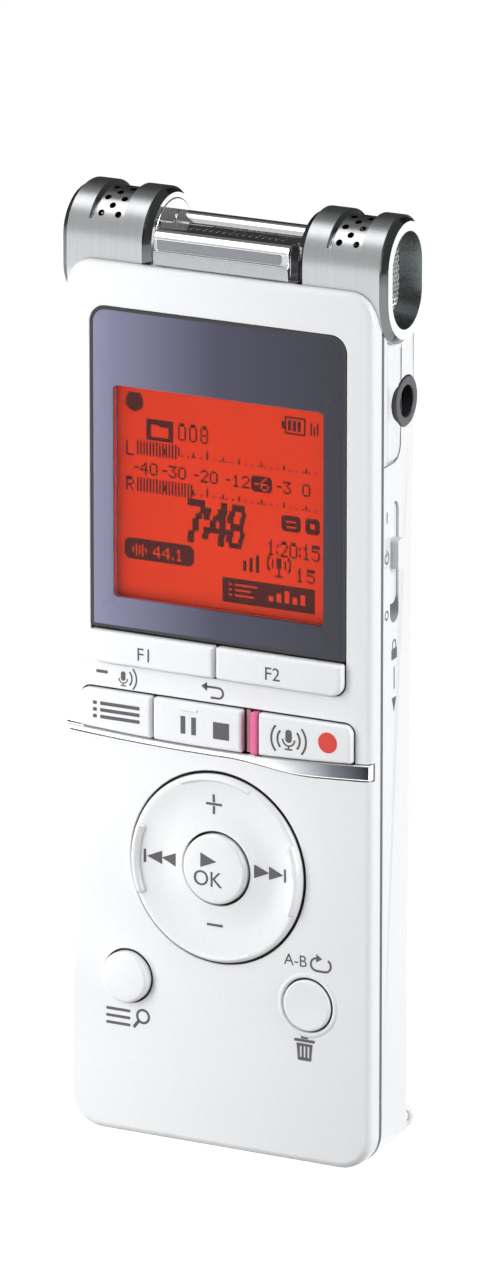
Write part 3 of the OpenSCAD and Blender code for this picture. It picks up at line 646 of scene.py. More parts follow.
def make_display():
    """Slate window frame, the black line round its edge, and the clear pane."""
    outline = lambda i: panel(DISPLAY[0], DISPLAY[2], (0.4, 0.4, 2, 2), i)
    lens = span("display_lens")
    glass = lambda i: panel(grown(lens[0], SEAT), grown(lens[2], SEAT), (0.6,) * 4, i)
    frame_form = Form()
    rim, cuts = frame_form.slab(outline, 0, DISPLAY[1][1], 0.08, [glass], 0.12)
    frame_form.fill(rim, cuts)
    frame_form.build("DisplayBezel", BEZEL, "case", "display_black", ["display_frame"])
    # The bezel's dark slate runs from light violet-grey at the left to near black at the right: a painted
    # reflection of a softbox, fixed in object space
    colour = across(BEZEL, DISPLAY[0][0] * MM, DISPLAY[0][1] * MM,
                    [(0, srgb(130, 130, 158)), (0.1, srgb(112, 112, 142)),
                     (0.5, srgb(54, 53, 78)), (1, srgb(20, 22, 38))])
    BEZEL.node_tree.links.new(colour, shader_of(BEZEL).inputs["Base Color"])
    edge = Form()
    line, proud, deep = 0.36, -0.02, 0.3
    edge_rings = [edge.ring(outline(proud), d) for d in (proud, deep)]
    edge_rings += [edge.ring(outline(line), d) for d in (deep, proud)]
    for a, b in zip(edge_rings, edge_rings[1:] + edge_rings[:1]):
        edge.bridge(a, b)
    edge.build("BezelBorder", BLACK, "case", "display_black")
    pane = Form()
    outline = lambda i: panel(lens[0], lens[2], (0.55,) * 4, i)
    rim, _ = pane.slab(outline, lens[1][0], lens[1][1], 0.1)
    pane.fill(rim)
    pane.build("WindowPane", CLEAR, "case", "clear_lens", ["display_lens"])


# ---- display picture: a grid of dots, on where something dark is drawn ----

GLYPHS = {
    "0": (14, 17, 17, 17, 17, 17, 14), "1": (4, 12, 4, 4, 4, 4, 14), "2": (14, 17, 1, 2, 4, 8, 31),
    "3": (31, 2, 4, 2, 1, 17, 14), "4": (2, 6, 10, 18, 31, 2, 2), "5": (31, 16, 30, 1, 1, 17, 14),
    "6": (6, 8, 16, 30, 17, 17, 14), "7": (31, 1, 2, 4, 4, 8, 8), "8": (14, 17, 17, 14, 17, 17, 14),
    "-": (0, 0, 0, 14, 0, 0, 0), ":": (0, 4, 4, 0, 4, 4, 0), ".": (0, 0, 0, 0, 0, 4, 4),
    "L": (16, 16, 16, 16, 16, 16, 31), "R": (30, 17, 17, 30, 20, 18, 17),
}
COLUMNS, ROWS = 132, 120
NARROW = {"-": 3, ":": 1, ".": 1}


def paint_box(dots, left, top, wide, high, on=True, corner=0):
    dots[top:top + high, left:left + wide] = on
    for k in range(corner):
        for row in (top + k, top + high - 1 - k):
            dots[row, left:left + corner - k] = not on
            dots[row, left + wide - corner + k:left + wide] = not on


def paint_text(dots, text, left, top, wide, high, on=True, gap=1, slant=0.0, bold=0):
    """Draws digits stretched to wide by high dots each, leaning right by slant dots in all."""
    for letter in text:
        cells = NARROW.get(letter, 5)
        across_dots = max(1, round(wide * cells / 5))
        for r in range(high):
            bits = GLYPHS[letter][r * 7 // high]
            lean = round(slant * (1 - r / high))
            for c in range(across_dots):
                bit = 4 - (c * cells // across_dots + (5 - cells) // 2)
                if bits >> bit & 1:
                    at = left + c + lean
                    dots[top + r, at:at + 1 + bold] = on
        left += across_dots + gap


def paint_level(dots, top, high, filled):
    """Level meter: close bars, then dots with a taller tick at each mark of the scale."""
    for k, col in enumerate(range(12, 128, 2)):
        if col <= filled:
            dots[top:top + high, col] = True
        else:
            dots[top + high - 3, col] = k % 2 == 0
    for col in (20, 29, 38, 47, 56, 66, 76, 90, 104, 118):
        dots[top + high - 7 if col in (56, 38) else top + high - 5:top + high - 2, col] = True


def picture():
    dots = np.zeros((ROWS, COLUMNS), bool)
    rows, cols = np.mgrid[0:ROWS, 0:COLUMNS]
    dots |= (rows - 8.6) ** 2 + (cols - 10) ** 2 < 5.6 ** 2
    paint_box(dots, 18, 18, 17, 12)
    paint_box(dots, 21, 21, 5, 2, False)
    paint_box(dots, 21, 22, 11, 6, False)
    paint_text(dots, "008", 38, 18, 5, 10, gap=2)
    paint_box(dots, 105, 6, 13, 10)
    paint_box(dots, 103, 9, 2, 4)
    paint_box(dots, 106, 7, 11, 8, False)
    for col in (107, 110, 113):
        paint_box(dots, col, 8, 2, 6)
    paint_box(dots, 121, 8, 1, 7)
    paint_box(dots, 123, 10, 1, 5)
    paint_box(dots, 125, 8, 1, 7)
    paint_text(dots, "L", 5, 32, 5, 8)
    paint_level(dots, 31, 8, 37)
    scale = {"-40": 17, "-30": 36, "-20": 55, "-12": 76, "-6": 90, "-3": 104, "0": 118}
    for text, centre in scale.items():
        wide = sum(NARROW.get(c, 5) + 1 for c in text) - 1
        left = round(centre - wide / 2)
        if text == "-6":
            paint_box(dots, left - 2, 42, wide + 4, 9, corner=1)
        paint_text(dots, text, left, 43, 5, 7, on=text != "-6")
    paint_text(dots, "R", 5, 52, 5, 8)
    paint_level(dots, 52, 8, 46)
    paint_text(dots, "7:48", 42, 60, 9, 25, gap=2, slant=2, bold=2)
    paint_box(dots, 103, 62, 12, 9, corner=1)
    paint_box(dots, 106, 65, 6, 1, False)
    paint_box(dots, 106, 68, 6, 1, False)
    paint_box(dots, 118, 62, 9, 9, corner=1)
    paint_box(dots, 121, 65, 3, 3, False)
    paint_text(dots, "1:20:15", 94, 77, 5, 9)
    paint_box(dots, 4, 87, 44, 12, corner=2)
    paint_text(dots, "44.1", 22, 90, 5, 7, on=False)
    for k, half in enumerate((1, 3, 2, 3, 1)):
        paint_box(dots, 9 + 2 * k, 93 - half, 1, 2 * half + 1, False)
    paint_box(dots, 79, 91, 2, 6)
    paint_box(dots, 83, 89, 2, 8)
    paint_box(dots, 87, 87, 2, 10)
    paint_box(dots, 100, 87, 3, 6)
    paint_box(dots, 101, 93, 1, 5)
    paint_box(dots, 99, 97, 5, 1)
    for radius in (4.4, 7.2):
        ring = np.abs(np.hypot(rows - 90, cols - 101) - radius) < 0.55
        dots |= ring & (np.abs(rows - 90) < radius * 0.66)
    paint_text(dots, "15", 112, 91, 5, 8, gap=2)
    paint_box(dots, 66, 102, 58, 14)
    for k in range(3):
        paint_box(dots, 70, 105 + 3 * k, 2, 1, False)
        paint_box(dots, 74, 105 + 3 * k, (14, 10, 12)[k], 1, False)
    for k in range(5):
        paint_box(dots, 95 + 5 * k, 112 - 1 - (2, 4, 6, 3, 5)[k], 3, (2, 4, 6, 3, 5)[k] + 1, False)
    return dots


def blocks_of(dots):
    """Covers the dots that are on with rectangles: runs along a row, joined down while they match."""
    left = dots.copy()
    for r in range(ROWS):
        c = 0
        while c < COLUMNS:
            if not left[r, c]:
                c += 1
                continue
            end = c
            while end < COLUMNS and left[r, end]:
                end += 1
            low = r + 1
            while low < ROWS and left[low, c:end].all():
                low += 1
            left[r:low, c:end] = False
            yield c, end, r, low
            c = end


def make_lcd():
    panel_x, panel_depth, panel_z = span("lcd_panel")
    face = Form()
    outline = lambda i: panel(panel_x, panel_z, (0.2,) * 4, i)
    rim, _ = face.slab(outline, *panel_depth, 0.05)
    face.fill(rim)
    face.build("LcdFace", LCD, "case", "lcd_face", ["lcd_panel"])
    # Backlight colour across the LCD, with a dark strip at the left edge that is a painted shadow of the
    # window frame
    glow_and_painted_shadow = across(LCD, -13.6 * MM, 13.6 * MM,
                  [(0, srgb(128, 20, 4)), (0.07, srgb(218, 46, 2)),
                   (0.5, srgb(238, 60, 4)), (1, srgb(230, 54, 4))])
    LCD.node_tree.links.new(glow_and_painted_shadow, shader_of(LCD).inputs["Emission Color"])
    glass_x, _, glass_z = span("display_lens")
    pitch = (glass_x[1] - glass_x[0] + 0.1) / COLUMNS
    x0, z1 = glass_x[0] - 0.05, glass_z[1] + 0.05
    print_form = Form()
    front = panel_depth[0]
    for c0, c1, r0, r1 in blocks_of(picture()):
        print_form.block((x0 + c0 * pitch, x0 + c1 * pitch), (front - 0.02, front + 0.01),
                         (z1 - r1 * pitch, z1 - r0 * pitch))
    print_form.build("LcdSegments", SEGMENT, "case", "lcd_face", weighted=False)


def make_trim():
    form = Form()
    rim, _ = form.slab(trim_outline, *TRIM[1], 0.22)
    form.fill(rim)
    sweep = form.build("ChromeSweep", [CHROME, POLISHED], "case", "chrome_trim", ["chrome_trim"])
    facing = [int(f.normal.y > -0.95) for f in sweep.data.polygons]
    sweep.data.polygons.foreach_set("material_index", facing)
    # The chrome face runs from bright at the left to near black at the right: a painted reflection, fixed
    # in object space
    colour = across(CHROME, 4 * MM, 19.9 * MM,
                    [(0, (0.8, 0.81, 0.83)), (0.3, (0.5, 0.51, 0.53)),
                     (0.7, (0.12, 0.12, 0.14)), (1, (0.02, 0.02, 0.025))])
    CHROME.node_tree.links.new(colour, shader_of(CHROME).inputs["Base Color"])


# ---- keys ----

def make_key(name, outline, depth, edge, material, body, slot, node):
    form = Form()
    # Key walls behind the waist and the key's back take painted shade, the second material
    rim, _ = form.slab(outline, depth[0], depth[1], edge, steps=8, waist=max(0.06, depth[0] + edge + 0.01))
    form.fill(rim, slot=1)
    return form.build(name, [material, PAINTED_GAP_SHADE], body, slot, [node])


def make_keys():
    for side, body in ((-1, "f1_key"), (1, "f2_key")):
        x = sorted((side * F_KEY_X[0], side * F_KEY_X[1]))
        radii = (F_CORNER, 0.35, 0.3, 0.3) if side < 0 else (0.35, F_CORNER, 0.3, 0.3)
        outline = lambda i, x=x, radii=radii: panel(x, F_KEY_Z, radii, i)
        make_key(body.upper()[:2] + "Cap", outline, span(body)[1], 0.5, WHITE, body, "white_plastic", body)
    front = ROW["record_key"][1][0]
    ends = {"menu_key": (ROW_CORNER, 0.3), "stop_key": (0.3, 0.3), "record_key": (0.3, ROW_CORNER)}
    for node, corners in ends.items():
        x, depth, _ = ROW[node]
        outline = lambda i, x=x, corners=corners: row_outline(x, KEY_GAP, ROW_TOP, corners, i)
        make_key(node.split("_")[0].title() + "Cap", outline, (front, depth[1]), 0.45, WHITE, node,
                 "white_plastic", node)
    x, depth, _ = ROW["record_key_strip"]
    make_key("RecordStrip", lambda i: row_outline(x, KEY_GAP, ROW_TOP, (0.3, 0.2), i), depth, 0.3, PINK,
             "record_key", "strip_pink", "record_key_strip")
    px, pdepth, _ = ROW["record_light_pipe"]
    make_key("LightPipe", lambda i: row_outline(px, KEY_GAP, ROW_TOP, (0.1, 0.1), i), pdepth, 0.1, PIPE,
             "case", "pipe_red", "record_light_pipe")
    bar = Form()
    rim, _ = bar.slab(lambda i: panel((-4.4, -2.2), (52.2, 52.55), (0.16,) * 4, i), -1.0, -0.7, 0.12)
    bar.fill(rim)
    bar.build("StopTouchBar", WHITE, "stop_key", "white_plastic")


# The ring's section as (radius, depth) points, from its bore over the dished face to its rim
RING_PROFILE = [(4.45, 0.9), (4.45, 0.05), (4.45, -0.3), (4.5, -0.37), (4.65, -0.38), (5.4, -0.25),
                (6.3, -0.17), (7.2, -0.12), (8.1, -0.15), (9, -0.25), (9.8, -0.42), (10.4, -0.55),
                (10.7, -0.6), (10.95, -0.56), (11.1, -0.44), (11.2, -0.25), (11.2, 0.05), (11.2, 0.9)]


def ring_depth(x, z):
    r = math.hypot(x - RING_CENTRE[0], z - RING_CENTRE[1])
    top = RING_PROFILE[2:-2]
    return float(np.interp(r, [p[0] for p in top], [p[1] for p in top]))


def ridge(form, start, end, inner, outer, peak):
    """Raised arc on the ring's rim, with a rounded section and rounded ends."""
    section = [(0.0, 0.0), (0.12, 0.55), (0.35, 0.9), (0.5, 1.0), (0.65, 0.9), (0.88, 0.55), (1.0, 0.0)]
    rings = []
    length = math.radians(end - start) * outer
    for t in np.linspace(0, 1, 41):
        fade = min(1.0, min(t, 1 - t) * length / 0.45)
        lift = math.sqrt(max(0.0, 1 - (1 - fade) ** 2))
        angle = math.radians(start + (end - start) * t)
        points = []
        for across_t, height in section:
            r = inner + (outer - inner) * (0.5 + (across_t - 0.5) * max(lift, 0.05))
            x, z = RING_CENTRE[0] + r * math.cos(angle), RING_CENTRE[1] + r * math.sin(angle)
            points.append((x, -0.3 + (peak + 0.3) * height * lift, z))
        rings.append(form.add(points))
    for a, b in zip(rings, rings[1:]):
        form.bridge(a, b)
    form.face(rings[0])
    form.face(rings[-1])


def make_ring():
    form = Form()
    form.lathe(RING_PROFILE, RING_CENTRE, 144)
    # Behind the cover's face the ring's bore and back take painted shade
    form.build("CursorRing", [WHITE, PAINTED_GAP_SHADE], "cursor_ring", "white_plastic", ["cursor_ring"])
    ridges = Form()
    for start in (-24, 156):
        ridge(ridges, start, start + 48, 9.95, 11.12, -1.15)
    for middle_angle in (90, 270):
        ridge(ridges, middle_angle - 26, middle_angle + 26, 10.3, 11.1, -0.84)
    ridges.build("RingRidges", WHITE, "cursor_ring", "white_plastic", sharp=60)


def round_key(name, node, radius, proud, edge, dish=0.0):
    centre = centre_of(node)
    back = span(node)[1][1]
    profile = [(radius, back), (radius, 0.05)]
    for t in np.linspace(0, math.pi / 2, 8):
        profile.append((radius - edge * (1 - math.cos(t)), -proud + edge * (1 - math.sin(t))))
    flat = radius - edge
    profile += [(flat * s, -proud + dish * (1 - s * s)) for s in (0.85, 0.65, 0.45, 0.25, 0)]
    form = Form()
    form.lathe([(0, back)] + profile, centre)
    # Behind the cover's face the key's wall and back take painted shade
    form.build(name, [WHITE, PAINTED_GAP_SHADE], node, "white_plastic", [node], sharp=40)


def make_round_keys():
    round_key("OkCap", "ok_button", 4.15, OK_PROUD, 0.5, OK_CROWN)
    round_key("ListCap", "list_button", BUTTON_RADIUS, 1.1, 0.5, -0.1)
    round_key("EraseCap", "erase_button", BUTTON_RADIUS, 0.45, 0.3, 0.12)
    x, z = centre_of("erase_button")
    well = Form()
    lip = [(3.28, 0.3), (3.28, -0.02), (3.36, -0.12), (3.5, -0.17), (3.68, -0.14), (3.85, -0.05),
           (3.95, 0.3)]
    well.lathe(lip, (x, z))
    # The surround's back takes painted shade
    well.build("EraseSurround", [WHITE, PAINTED_GAP_SHADE], "case", "white_plastic")


# ---- printed marks ----

def flat_print(outlines, surface_depth, name, body, material=INK, slot="display_black", thick=INK_THICK):
    """Ink laid on a surface; an outline is points, or a pair of points and holes."""
    form = Form()
    lift = surface_depth if callable(surface_depth) else (lambda x, z: surface_depth)
    for outline in outlines:
        outer, holes = outline if isinstance(outline, tuple) else (outline, [])
        front = lambda x, z: lift(x, z) - thick
        back = lambda x, z: lift(x, z) + thick
        sides = []
        for depth in (front, back):
            loop = form.ring(outer, depth)
            cuts = [form.ring(hole, depth) for hole in holes]
            form.fill(loop, cuts)
            sides.append([loop, *cuts])
        for a, b in zip(*sides):
            form.bridge(a, b)
    form.build(name, material, body, slot, weighted=False)


def bar_shape(x, z, wide, high, corner=0.06):
    return panel((x - wide / 2, x + wide / 2), (z - high / 2, z + high / 2), (corner,) * 4, steps=3)


def stroke(points, width):
    """Outline of a line of even width through points."""
    p = np.array(points, float)
    along = np.gradient(p, axis=0)
    along /= np.linalg.norm(along, axis=1)[:, None]
    side = np.stack([-along[:, 1], along[:, 0]], 1) * width / 2
    return [tuple(q) for q in p + side] + [tuple(q) for q in (p - side)[::-1]]


def triangle(x, z, wide, high, direction=1):
    """Arrowhead along X, pointing right or, with direction -1, left."""
    base, tip = x - direction * wide / 2, x + direction * wide / 2
    return [(base, z - high / 2), (tip, z), (base, z + high / 2)]


def hoop(centre, radius, width, start=0, end=360):
    """Ring or arc of even width."""
    if end - start == 360:
        return circle(centre, radius + width / 2, 32), [circle(centre, radius - width / 2, 32)]
    return stroke(arc(centre, radius, start, end, 17), width)


def microphone(x, z, size):
    """Upright microphone: capsule, cradle, stem and foot."""
    s = size / 2.4
    return [
        panel((x - 0.42 * s, x + 0.42 * s), (z - 0.35 * s, z + 1.2 * s), (0.41 * s,) * 4, steps=6),
        stroke(arc((x, z + 0.05 * s), 0.78 * s, 180, 360, 13), 0.2 * s),
        bar_shape(x, z - 0.92 * s, 0.2 * s, 0.4 * s), bar_shape(x, z - 1.14 * s, 1.0 * s, 0.2 * s),
    ]


def words(text, centre, size, depth, name, body):
    """Generic key letters or numbers set in the built-in typeface."""
    curve = bpy.data.curves.new(name, "FONT")
    curve.body, curve.size, curve.align_x, curve.align_y = text, size, "CENTER", "CENTER"
    curve.extrude = INK_THICK
    curve.resolution_u = 4
    maker = bpy.data.objects.new(name + "Maker", curve)
    bpy.context.scene.collection.objects.link(maker)
    bpy.context.view_layer.update()
    mesh = bpy.data.meshes.new_from_object(maker.evaluated_get(bpy.context.evaluated_depsgraph_get()))
    bpy.data.objects.remove(maker)
    for v in mesh.vertices:
        x, up, out = v.co
        v.co = Vector(((centre[0] + x) * MM, (FACE + depth - out) * MM, (centre[1] + up) * MM))
    mesh.name = name
    mesh.materials.clear()
    mesh.materials.append(INK)
    piece = bpy.data.objects.new(name, mesh)
    bpy.context.scene.collection.objects.link(piece)
    settle(piece, body, "display_black", weighted=False)


def make_prints():
    f_top = span("f1_key")[1][0]
    row_top = ROW["record_key"][1][0]
    words("F1", (-9.1, 58.0), 2.2, f_top, "MarkF1", "f1_key")
    words("F2", (7.6, 58.0), 2.2, f_top, "MarkF2", "f2_key")
    ok_top = -OK_PROUD + OK_CROWN + 0.005
    words("OK", (-0.72, 32.6), 2.6, ok_top, "MarkOk", "ok_button")
    flat_print([triangle(-0.6, 34.85, 2.1, 1.75)], ok_top, "MarkPlay", "ok_button")
    flat_print([
        bar_shape(-0.4, 41.4, 2.1, 0.3), bar_shape(-0.4, 42.1, 0.3, 0.98), bar_shape(-0.4, 40.7, 0.3, 0.98),
        bar_shape(-0.3, 26.95, 2.1, 0.3),
        bar_shape(-9.4, 34.05, 0.28, 1.6),
        triangle(-8.2, 34.05, 1.9, 1.6, -1), triangle(-6.35, 34.05, 1.9, 1.6, -1),
        triangle(5.9, 34.2, 1.9, 1.6), triangle(7.75, 34.2, 1.9, 1.6), bar_shape(8.95, 34.2, 0.28, 1.6),
    ], ring_depth, "MarksRing", "cursor_ring", thick=0.035)
    lines = []
    for k in range(3):
        lines += [bar_shape(-15.7, 51.6 - 0.8 * k, 0.5, 0.42), bar_shape(-12.4, 51.6 - 0.8 * k, 5.2, 0.42)]
    flat_print(lines, row_top, "MarkMenu", "menu_key")
    flat_print([bar_shape(0.9, 50.4, 2.1, 2.0, 0.03), bar_shape(-4.1, 50.5, 0.62, 2.1),
                bar_shape(-2.7, 50.5, 0.62, 2.1)], row_top, "MarkStop", "stop_key")
    waves = [hoop((9.7, 50.6), r, 0.26, a, a + 84) for r in (1.45, 2.25) for a in (-42, 138)]
    flat_print(microphone(9.7, 50.6, 2.4) + waves, row_top, "MarkRecord", "record_key")
    flat_print([circle((14.75, 50.95), 1.22, 40)], row_top, "MarkRecordDot", "record_key", RED_INK,
               "pipe_red")
    marks = [bar_shape(-15.2, 55.15, 1.5, 0.36)] + microphone(-12.4, 54.65, 1.75)
    marks += [hoop((-12.4, 54.75), r, 0.2, -44, 44) for r in (1.15, 1.75)]
    marks += [stroke(arc((0.1, 54.6), 0.62, -90, 90, 11), 0.26), bar_shape(-0.75, 55.22, 1.7, 0.26),
              bar_shape(-0.4, 53.98, 1.0, 0.26), triangle(-1.75, 55.22, 0.75, 1.1, -1)]
    for k in range(3):
        marks.append(bar_shape(-13.2, 14.85 - 0.85 * k, 3.2, 0.34))
    marks += [hoop((-9.9, 14.45), 0.78, 0.3), stroke([(-10.45, 13.85), (-11.15, 13.0)], 0.4)]
    loop = (13.5, 24.15)
    marks += [stroke(arc((loop[0] - 0.55, loop[1]), 0.75, 90, 270, 11), 0.26),
              stroke(arc((loop[0] + 0.55, loop[1]), 0.75, -90, 60, 11), 0.26),
              bar_shape(loop[0], loop[1] - 0.75, 1.3, 0.26),
              triangle(loop[0] - 0.2, loop[1] + 0.75, 0.8, 1.0)]
    bin_x, bin_z = 11.4, 13.75
    slots = [bar_shape(bin_x + 0.5 * k, bin_z - 0.3, 0.22, 1.35) for k in (-1, 0, 1)]
    marks += [bar_shape(bin_x, bin_z + 1.05, 2.7, 0.34), bar_shape(bin_x, bin_z + 1.42, 0.95, 0.3),
              ([(bin_x - 1.05, bin_z + 0.7), (bin_x - 0.86, bin_z - 1.35), (bin_x + 0.86, bin_z - 1.35),
                (bin_x + 1.05, bin_z + 0.7)], slots)]
    flat_print(marks, 0, "MarksCover", "case")
    words("A-B", (10.2, 24.2), 1.95, 0, "MarkRepeat", "case")


def side_print(outlines, name):
    """Ink on the right side wall; outlines are (depth, height) points."""
    form = Form()
    wall = span("rear_housing")[0][1]
    for outline in outlines:
        outer, holes = outline if isinstance(outline, tuple) else (outline, [])
        sides = []
        for x in (wall - 0.02, wall + 0.02):
            loops = [form.add([(leaned(x, d, z), d, z) for d, z in loop]) for loop in (outer, *holes)]
            form.fill(loops[0], loops[1:], plane=(1, 2))
            sides.append(loops)
        for a, b in zip(*sides):
            form.bridge(a, b)
    form.build(name, INK, "case", "display_black", weighted=False)


def make_side_prints():
    slot_middle = middle(span("power_slider")[1])
    slot_low, slot_high = span("power_slider")[2]
    slot_z = middle((slot_low, slot_high))
    padlock = slot_low - 5.2
    strip = 3.75
    shackle = [(slot_middle - 0.5, padlock), *arc((slot_middle, padlock + 0.45), 0.5, 180, 0, 11),
               (slot_middle + 0.5, padlock)]
    side_print([
        bar_shape(strip, slot_high - 1.2, 0.24, 1.3), hoop((strip, slot_low - 0.8), 0.5, 0.2),
        stroke(arc((strip, slot_z), 0.62, 125, 415, 17), 0.2), bar_shape(strip, slot_z + 0.55, 0.2, 0.8),
        panel((slot_middle - 0.85, slot_middle + 0.85), (padlock - 1.3, padlock), (0.12,) * 4, steps=3),
        stroke(shackle, 0.24),
        [(slot_middle - 0.7, 55.3), (slot_middle, 53.6), (slot_middle + 0.7, 55.3)],
        bar_shape(slot_middle, 57.6, 0.26, 2.6),
    ], "MarksSide")
    low = span("right_side_insert")[2][0]
    top, turn, line = 96, 1.8, 0.14
    side_print([bar_shape(4.2, low, 2.7, line), stroke(arc((5.55, low + turn), turn, 270, 360, 13), line),
                bar_shape(7.35, middle((low + turn, top)), line, top - low - turn)], "InsertLine")


# ---- microphones ----

def make_mesh_plates():
    """Punched plates in the barrel mouths, with their holes in a triangular grid."""
    for side, node in ((1, "right_mic_mesh"), (-1, "left_mic_mesh")):
        x = sorted(abs(v) for v in span(node)[0])
        radius = (span(node)[1][1] - span(node)[1][0]) / 2
        pitch, hole = 0.62, 0.21
        form = Form()
        loops = []
        for at in x:
            put = lambda d, z: (leaned(side * at, d, z, *MOUTH_LEAN), d, z)
            rim = form.add([put(d, z) for d, z in obround(BARREL_DEPTH, BARREL_Z, radius, BARREL_HALF, 32)])
            cuts = []
            for row in range(-11, 12):
                for col in range(-8, 9):
                    d = (col + (0.5 if row % 2 else 0)) * pitch
                    z = row * pitch * math.sqrt(3) / 2
                    over = max(0, abs(z) - BARREL_HALF)
                    if math.hypot(d, over) < 4.05:
                        punched = circle((BARREL_DEPTH + d, BARREL_Z + z), hole, 8)
                        cuts.append(form.add([put(*point) for point in punched]))
            form.fill(rim, cuts, plane=(1, 2))
            loops.append([rim, *cuts])
        for a, b in zip(*loops):
            form.bridge(a, b)
        form.build(node.title().replace("_", "") + "Plate", MESH, "case", "mic_mesh", [node],
                   weighted=False)


def make_centre_bar():
    x, _, z = span("centre_mic_bar")
    lower = [(0.5, 103.72), (0.42, 104.5), (0.36, 105.3)]
    band = [(0.75, 105.5), (0.75, 106.8)]
    round_edge = arc((2.0, 106.1), 1.72, 158, 92, 9)
    top = [(2.3, z[1] - 0.02), (5.0, z[1]), (5.2, z[1] - 0.3), (5.2, 103.72)]
    section = lower + band + round_edge + top
    form = Form()
    ends = [form.add([(at, d, h) for d, h in section]) for at in x]
    tones = [1] * (len(lower) - 1) + [2, 2, 2] + [0] * (len(section) - len(lower) - 2)
    for i in range(len(section)):
        j = (i + 1) % len(section)
        form.face((ends[0][i], ends[0][j], ends[1][j], ends[1][i]), tones[i])
    for end in ends:
        form.fill(end, plane=(1, 2))
    band_form = Form()
    face = (x[0] + 0.35, x[1] - 0.9), (105.52, 106.72), (0.25, 0.5, 0.5, 0.25)
    rim, _ = band_form.slab(lambda i: panel(*face, i), 0.66, 0.85, 0.08)
    band_form.fill(rim)
    band_form.build("CentreBarBand", BAND, "case", "brushed_metal")
    piece = form.build("CentreBar", [POLISHED, BLASTED, SATIN], "case", "brushed_metal",
                       ["centre_mic_bar"], sharp=24)
    edge = piece.modifiers.new("Edges", "BEVEL")
    edge.width, edge.segments = 0.08 * MM, 2
    edge.limit_method, edge.angle_limit = "ANGLE", math.radians(28)
    piece.modifiers.move(len(piece.modifiers) - 1, 0)
    ticks = Form()
    for k in range(17):
        long_tick = k % 4 == 0
        at = x[0] + 1.8 + k * 0.85
        ticks.block((at - 0.09, at + 0.09), (2.9, 4.3 if long_tick else 3.7), (z[1] - 0.05, z[1] + 0.015))
    ticks.build("CentreBarTicks", SATIN, "case", "brushed_metal", weighted=False)


# ---- carried CAD nodes ----

CARRIED = {
    "rear_housing": WHITE, "lcd_backlight": GUIDE, "lcd_holder": BLACK, "main_board": BOARD,
    "key_board": BOARD, "key_switches": CONTACT, "board_ribbon": CABLE, "left_side_insert": SIDE,
    "right_side_insert": SIDE, "mic_jack_collar": COLLAR, "mic_jack_body": BLACK,
    "earphone_jack_collar": COLLAR, "earphone_jack_body": BLACK,
    "left_mic_barrel": BRUSHED, "right_mic_barrel": BRUSHED, "left_mic_holder": RUBBER,
    "right_mic_holder": RUBBER,
    "left_mic_capsule": CONTACT, "right_mic_capsule": CONTACT, "left_barrel_cap": POLISHED,
    "right_barrel_cap": POLISHED, "centre_mic_capsule": CONTACT, "rear_rail": POLISHED, "mic_ribbon": CABLE,
    "speaker": BLACK, "battery_cell": SLEEVE, "battery_spring": CONTACT, "battery_plate": CONTACT,
    "case_screws": CONTACT, "strap_staple": WHITE, "power_switch_body": BLACK, "power_slider": WHITE,
    "ring_rocker": CONTACT, "battery_door": WHITE, "usb_plug": CONTACT, "usb_carriage": BLACK,
}
# Visible CAD nodes that get a welded copy with softened edges: edge width, and its material slot
SOFT_EDGES = {
    "rear_housing": (0.15, "white_plastic"), "left_mic_barrel": (0.07, "brushed_metal"),
    "right_mic_barrel": (0.07, "brushed_metal"), "left_barrel_cap": (0.12, "polished_cap"),
    "right_barrel_cap": (0.12, "polished_cap"), "battery_door": (0.12, "white_plastic"),
    "power_slider": (0.15, "white_plastic"), "mic_jack_collar": (0.2, "collar_grey"),
    "earphone_jack_collar": (0.2, "collar_grey"), "usb_carriage": (0.15, "inner_black"),
    "usb_plug": (0.08, "contact_metal"), "right_side_insert": (0.12, "side_panel"),
    "left_side_insert": (0.12, "side_panel"), "rear_rail": (0.1, "polished_cap"),
    "case_screws": (0.06, "contact_metal"), "strap_staple": (0.05, "chrome_trim"),
}


POCKET_RADIUS, NEAR = 5.2, 0.06
POCKET_X = (13.4, 17.4)
# Where the lean starts in the barrel mouths, as a depth and a range of distances from the middle
MOUTH_LEAN = 1.0, (16, 19.5)
BORE_FROM, BORE_RADIUS = 18, 4.8
# A jack collar's face lies beyond this distance from the middle, and is set in by this much
COLLAR_FROM, COLLAR_SUNK = 20, 0.85
# Barrel edges as (distance from the middle, radius), before and after they are trued up
BARREL_LIPS = (((19.93, 5.8), (20.22, 5.8)), ((21.1, 5.04), (21.1, 5.14)), ((21.1, 4.6), (21.1, 4.42)),
               ((10.67, 5.8), (10.4, 5.8)), ((9.5, 5.04), (9.5, 5.14)))


def trued(x, depth, z):
    """Moves a barrel's edge points to a narrower chamfer and a wider flat lip."""
    middle_z = BARREL_Z + min(BARREL_HALF, max(-BARREL_HALF, z - BARREL_Z))
    radius = math.hypot(depth - BARREL_DEPTH, z - middle_z)
    for (at, r), (new_at, new_r) in BARREL_LIPS:
        if abs(abs(x) - at) < NEAR and abs(radius - r) < NEAR:
            scale = new_r / radius
            return (math.copysign(new_at, x), BARREL_DEPTH + (depth - BARREL_DEPTH) * scale,
                    middle_z + (z - middle_z) * scale)
    return x, depth, z


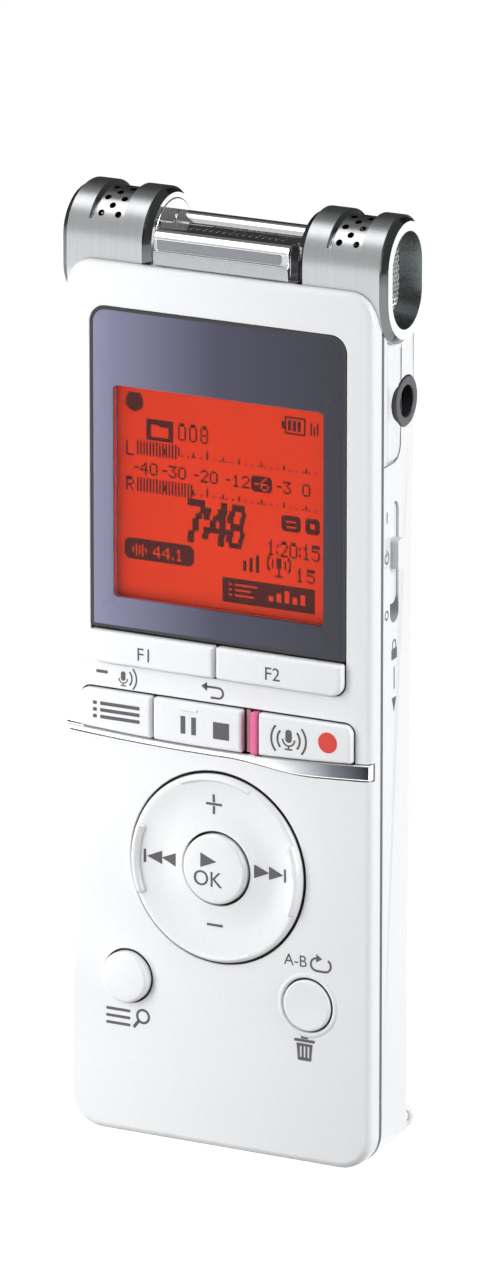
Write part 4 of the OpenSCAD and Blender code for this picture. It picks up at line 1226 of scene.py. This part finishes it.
def barrel_finish(centre, normal):
    """Slot 0 on the brushed outside, 1 on facets, 2 on the pocket's floor, 3 on lips, 4 in the bore. Facets
    take a darker metal as painted reflection, and the bore a darker metal as painted shade.
    """
    depth, z = centre.y / MM - FACE - BARREL_DEPTH, abs(centre.z / MM - BARREL_Z) - BARREL_HALF
    radius = math.hypot(depth, max(0, z))
    if abs(normal.x) > 0.98 and not 9.6 < abs(centre.x) / MM < 21:
        return 3
    if abs(radius - BARREL_R) < NEAR:
        return 0
    in_pocket = POCKET_X[0] < abs(centre.x) / MM < POCKET_X[1]
    in_bore = abs(centre.x) / MM > BORE_FROM and radius < BORE_RADIUS
    if in_bore:
        return 4
    return 2 if in_pocket and abs(radius - POCKET_RADIUS) < NEAR else 1


def soften(node, width, slot, material):
    """A copy of a CAD node with whole faces again, leaning sides and rounded edges, which stands
    for the node."""
    barrel = node.endswith("mic_barrel")
    mesh = NODES[node].data.copy()
    mesh.name = node + "_finished"
    if "custom_normal" in mesh.attributes:
        mesh.attributes.remove(mesh.attributes["custom_normal"])
    bm = bmesh.new()
    bm.from_mesh(mesh)
    bmesh.ops.remove_doubles(bm, verts=bm.verts, dist=2e-6)
    bmesh.ops.dissolve_limit(bm, angle_limit=math.radians(0.4), verts=bm.verts, edges=bm.edges)
    bmesh.ops.recalc_face_normals(bm, faces=bm.faces)
    bm.to_mesh(mesh)
    bm.free()
    mesh.materials.clear()
    for one in ([material, FACET_PAINTED_REFLECTION, SATIN, POLISHED, PAINTED_BORE_SHADE] if barrel else [material]):
        mesh.materials.append(one)
    mesh.polygons.foreach_set("material_index",
                              [barrel_finish(f.center, f.normal) if barrel else 0 for f in mesh.polygons])
    for v in mesh.vertices:
        x, depth, z = v.co.x / MM, v.co.y / MM - FACE, v.co.z / MM
        if barrel:
            x, depth, z = trued(x, depth, z)
            x = leaned(x, depth, z, *MOUTH_LEAN)
        else:
            if "collar" in node and abs(x) > COLLAR_FROM:
                x -= math.copysign(COLLAR_SUNK, x)
            x = leaned(x, depth, z)
        v.co = (x * MM, (depth + FACE) * MM, z * MM)
    piece = bpy.data.objects.new("".join(w.title() for w in node.split("_")) + "Finish", mesh)
    bpy.context.scene.collection.objects.link(piece)
    body = next(b for b, members in frame["record"]["behaviour"]["bodies"].items() if node in members)
    settle(piece, body, slot, [node], sharp=24, weighted=False)
    edge = piece.modifiers.new("Edges", "BEVEL")
    edge.width, edge.segments, edge.limit_method = width * MM, 2, "ANGLE"
    edge.angle_limit, edge.harden_normals, edge.use_clamp_overlap = math.radians(24), True, True


def dress_cad():
    for node, material in CARRIED.items():
        if node in SOFT_EDGES:
            soften(node, *SOFT_EDGES[node], material)
            continue
        mesh = NODES[node].data
        mesh.materials.clear()
        mesh.materials.append(material)
        mesh.polygons.foreach_set("material_index", [0] * len(mesh.polygons))


make_camera()
make_studio()
make_cover()
make_display()
make_lcd()
make_trim()
make_keys()
make_ring()
make_round_keys()
make_mesh_plates()
make_centre_bar()
make_prints()
make_side_prints()
dress_cad()

sizes = {"cad": CAD_BOX, "visual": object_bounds()}
plain = {k: [[float(c) for c in corner] for corner in v] for k, v in sizes.items()}
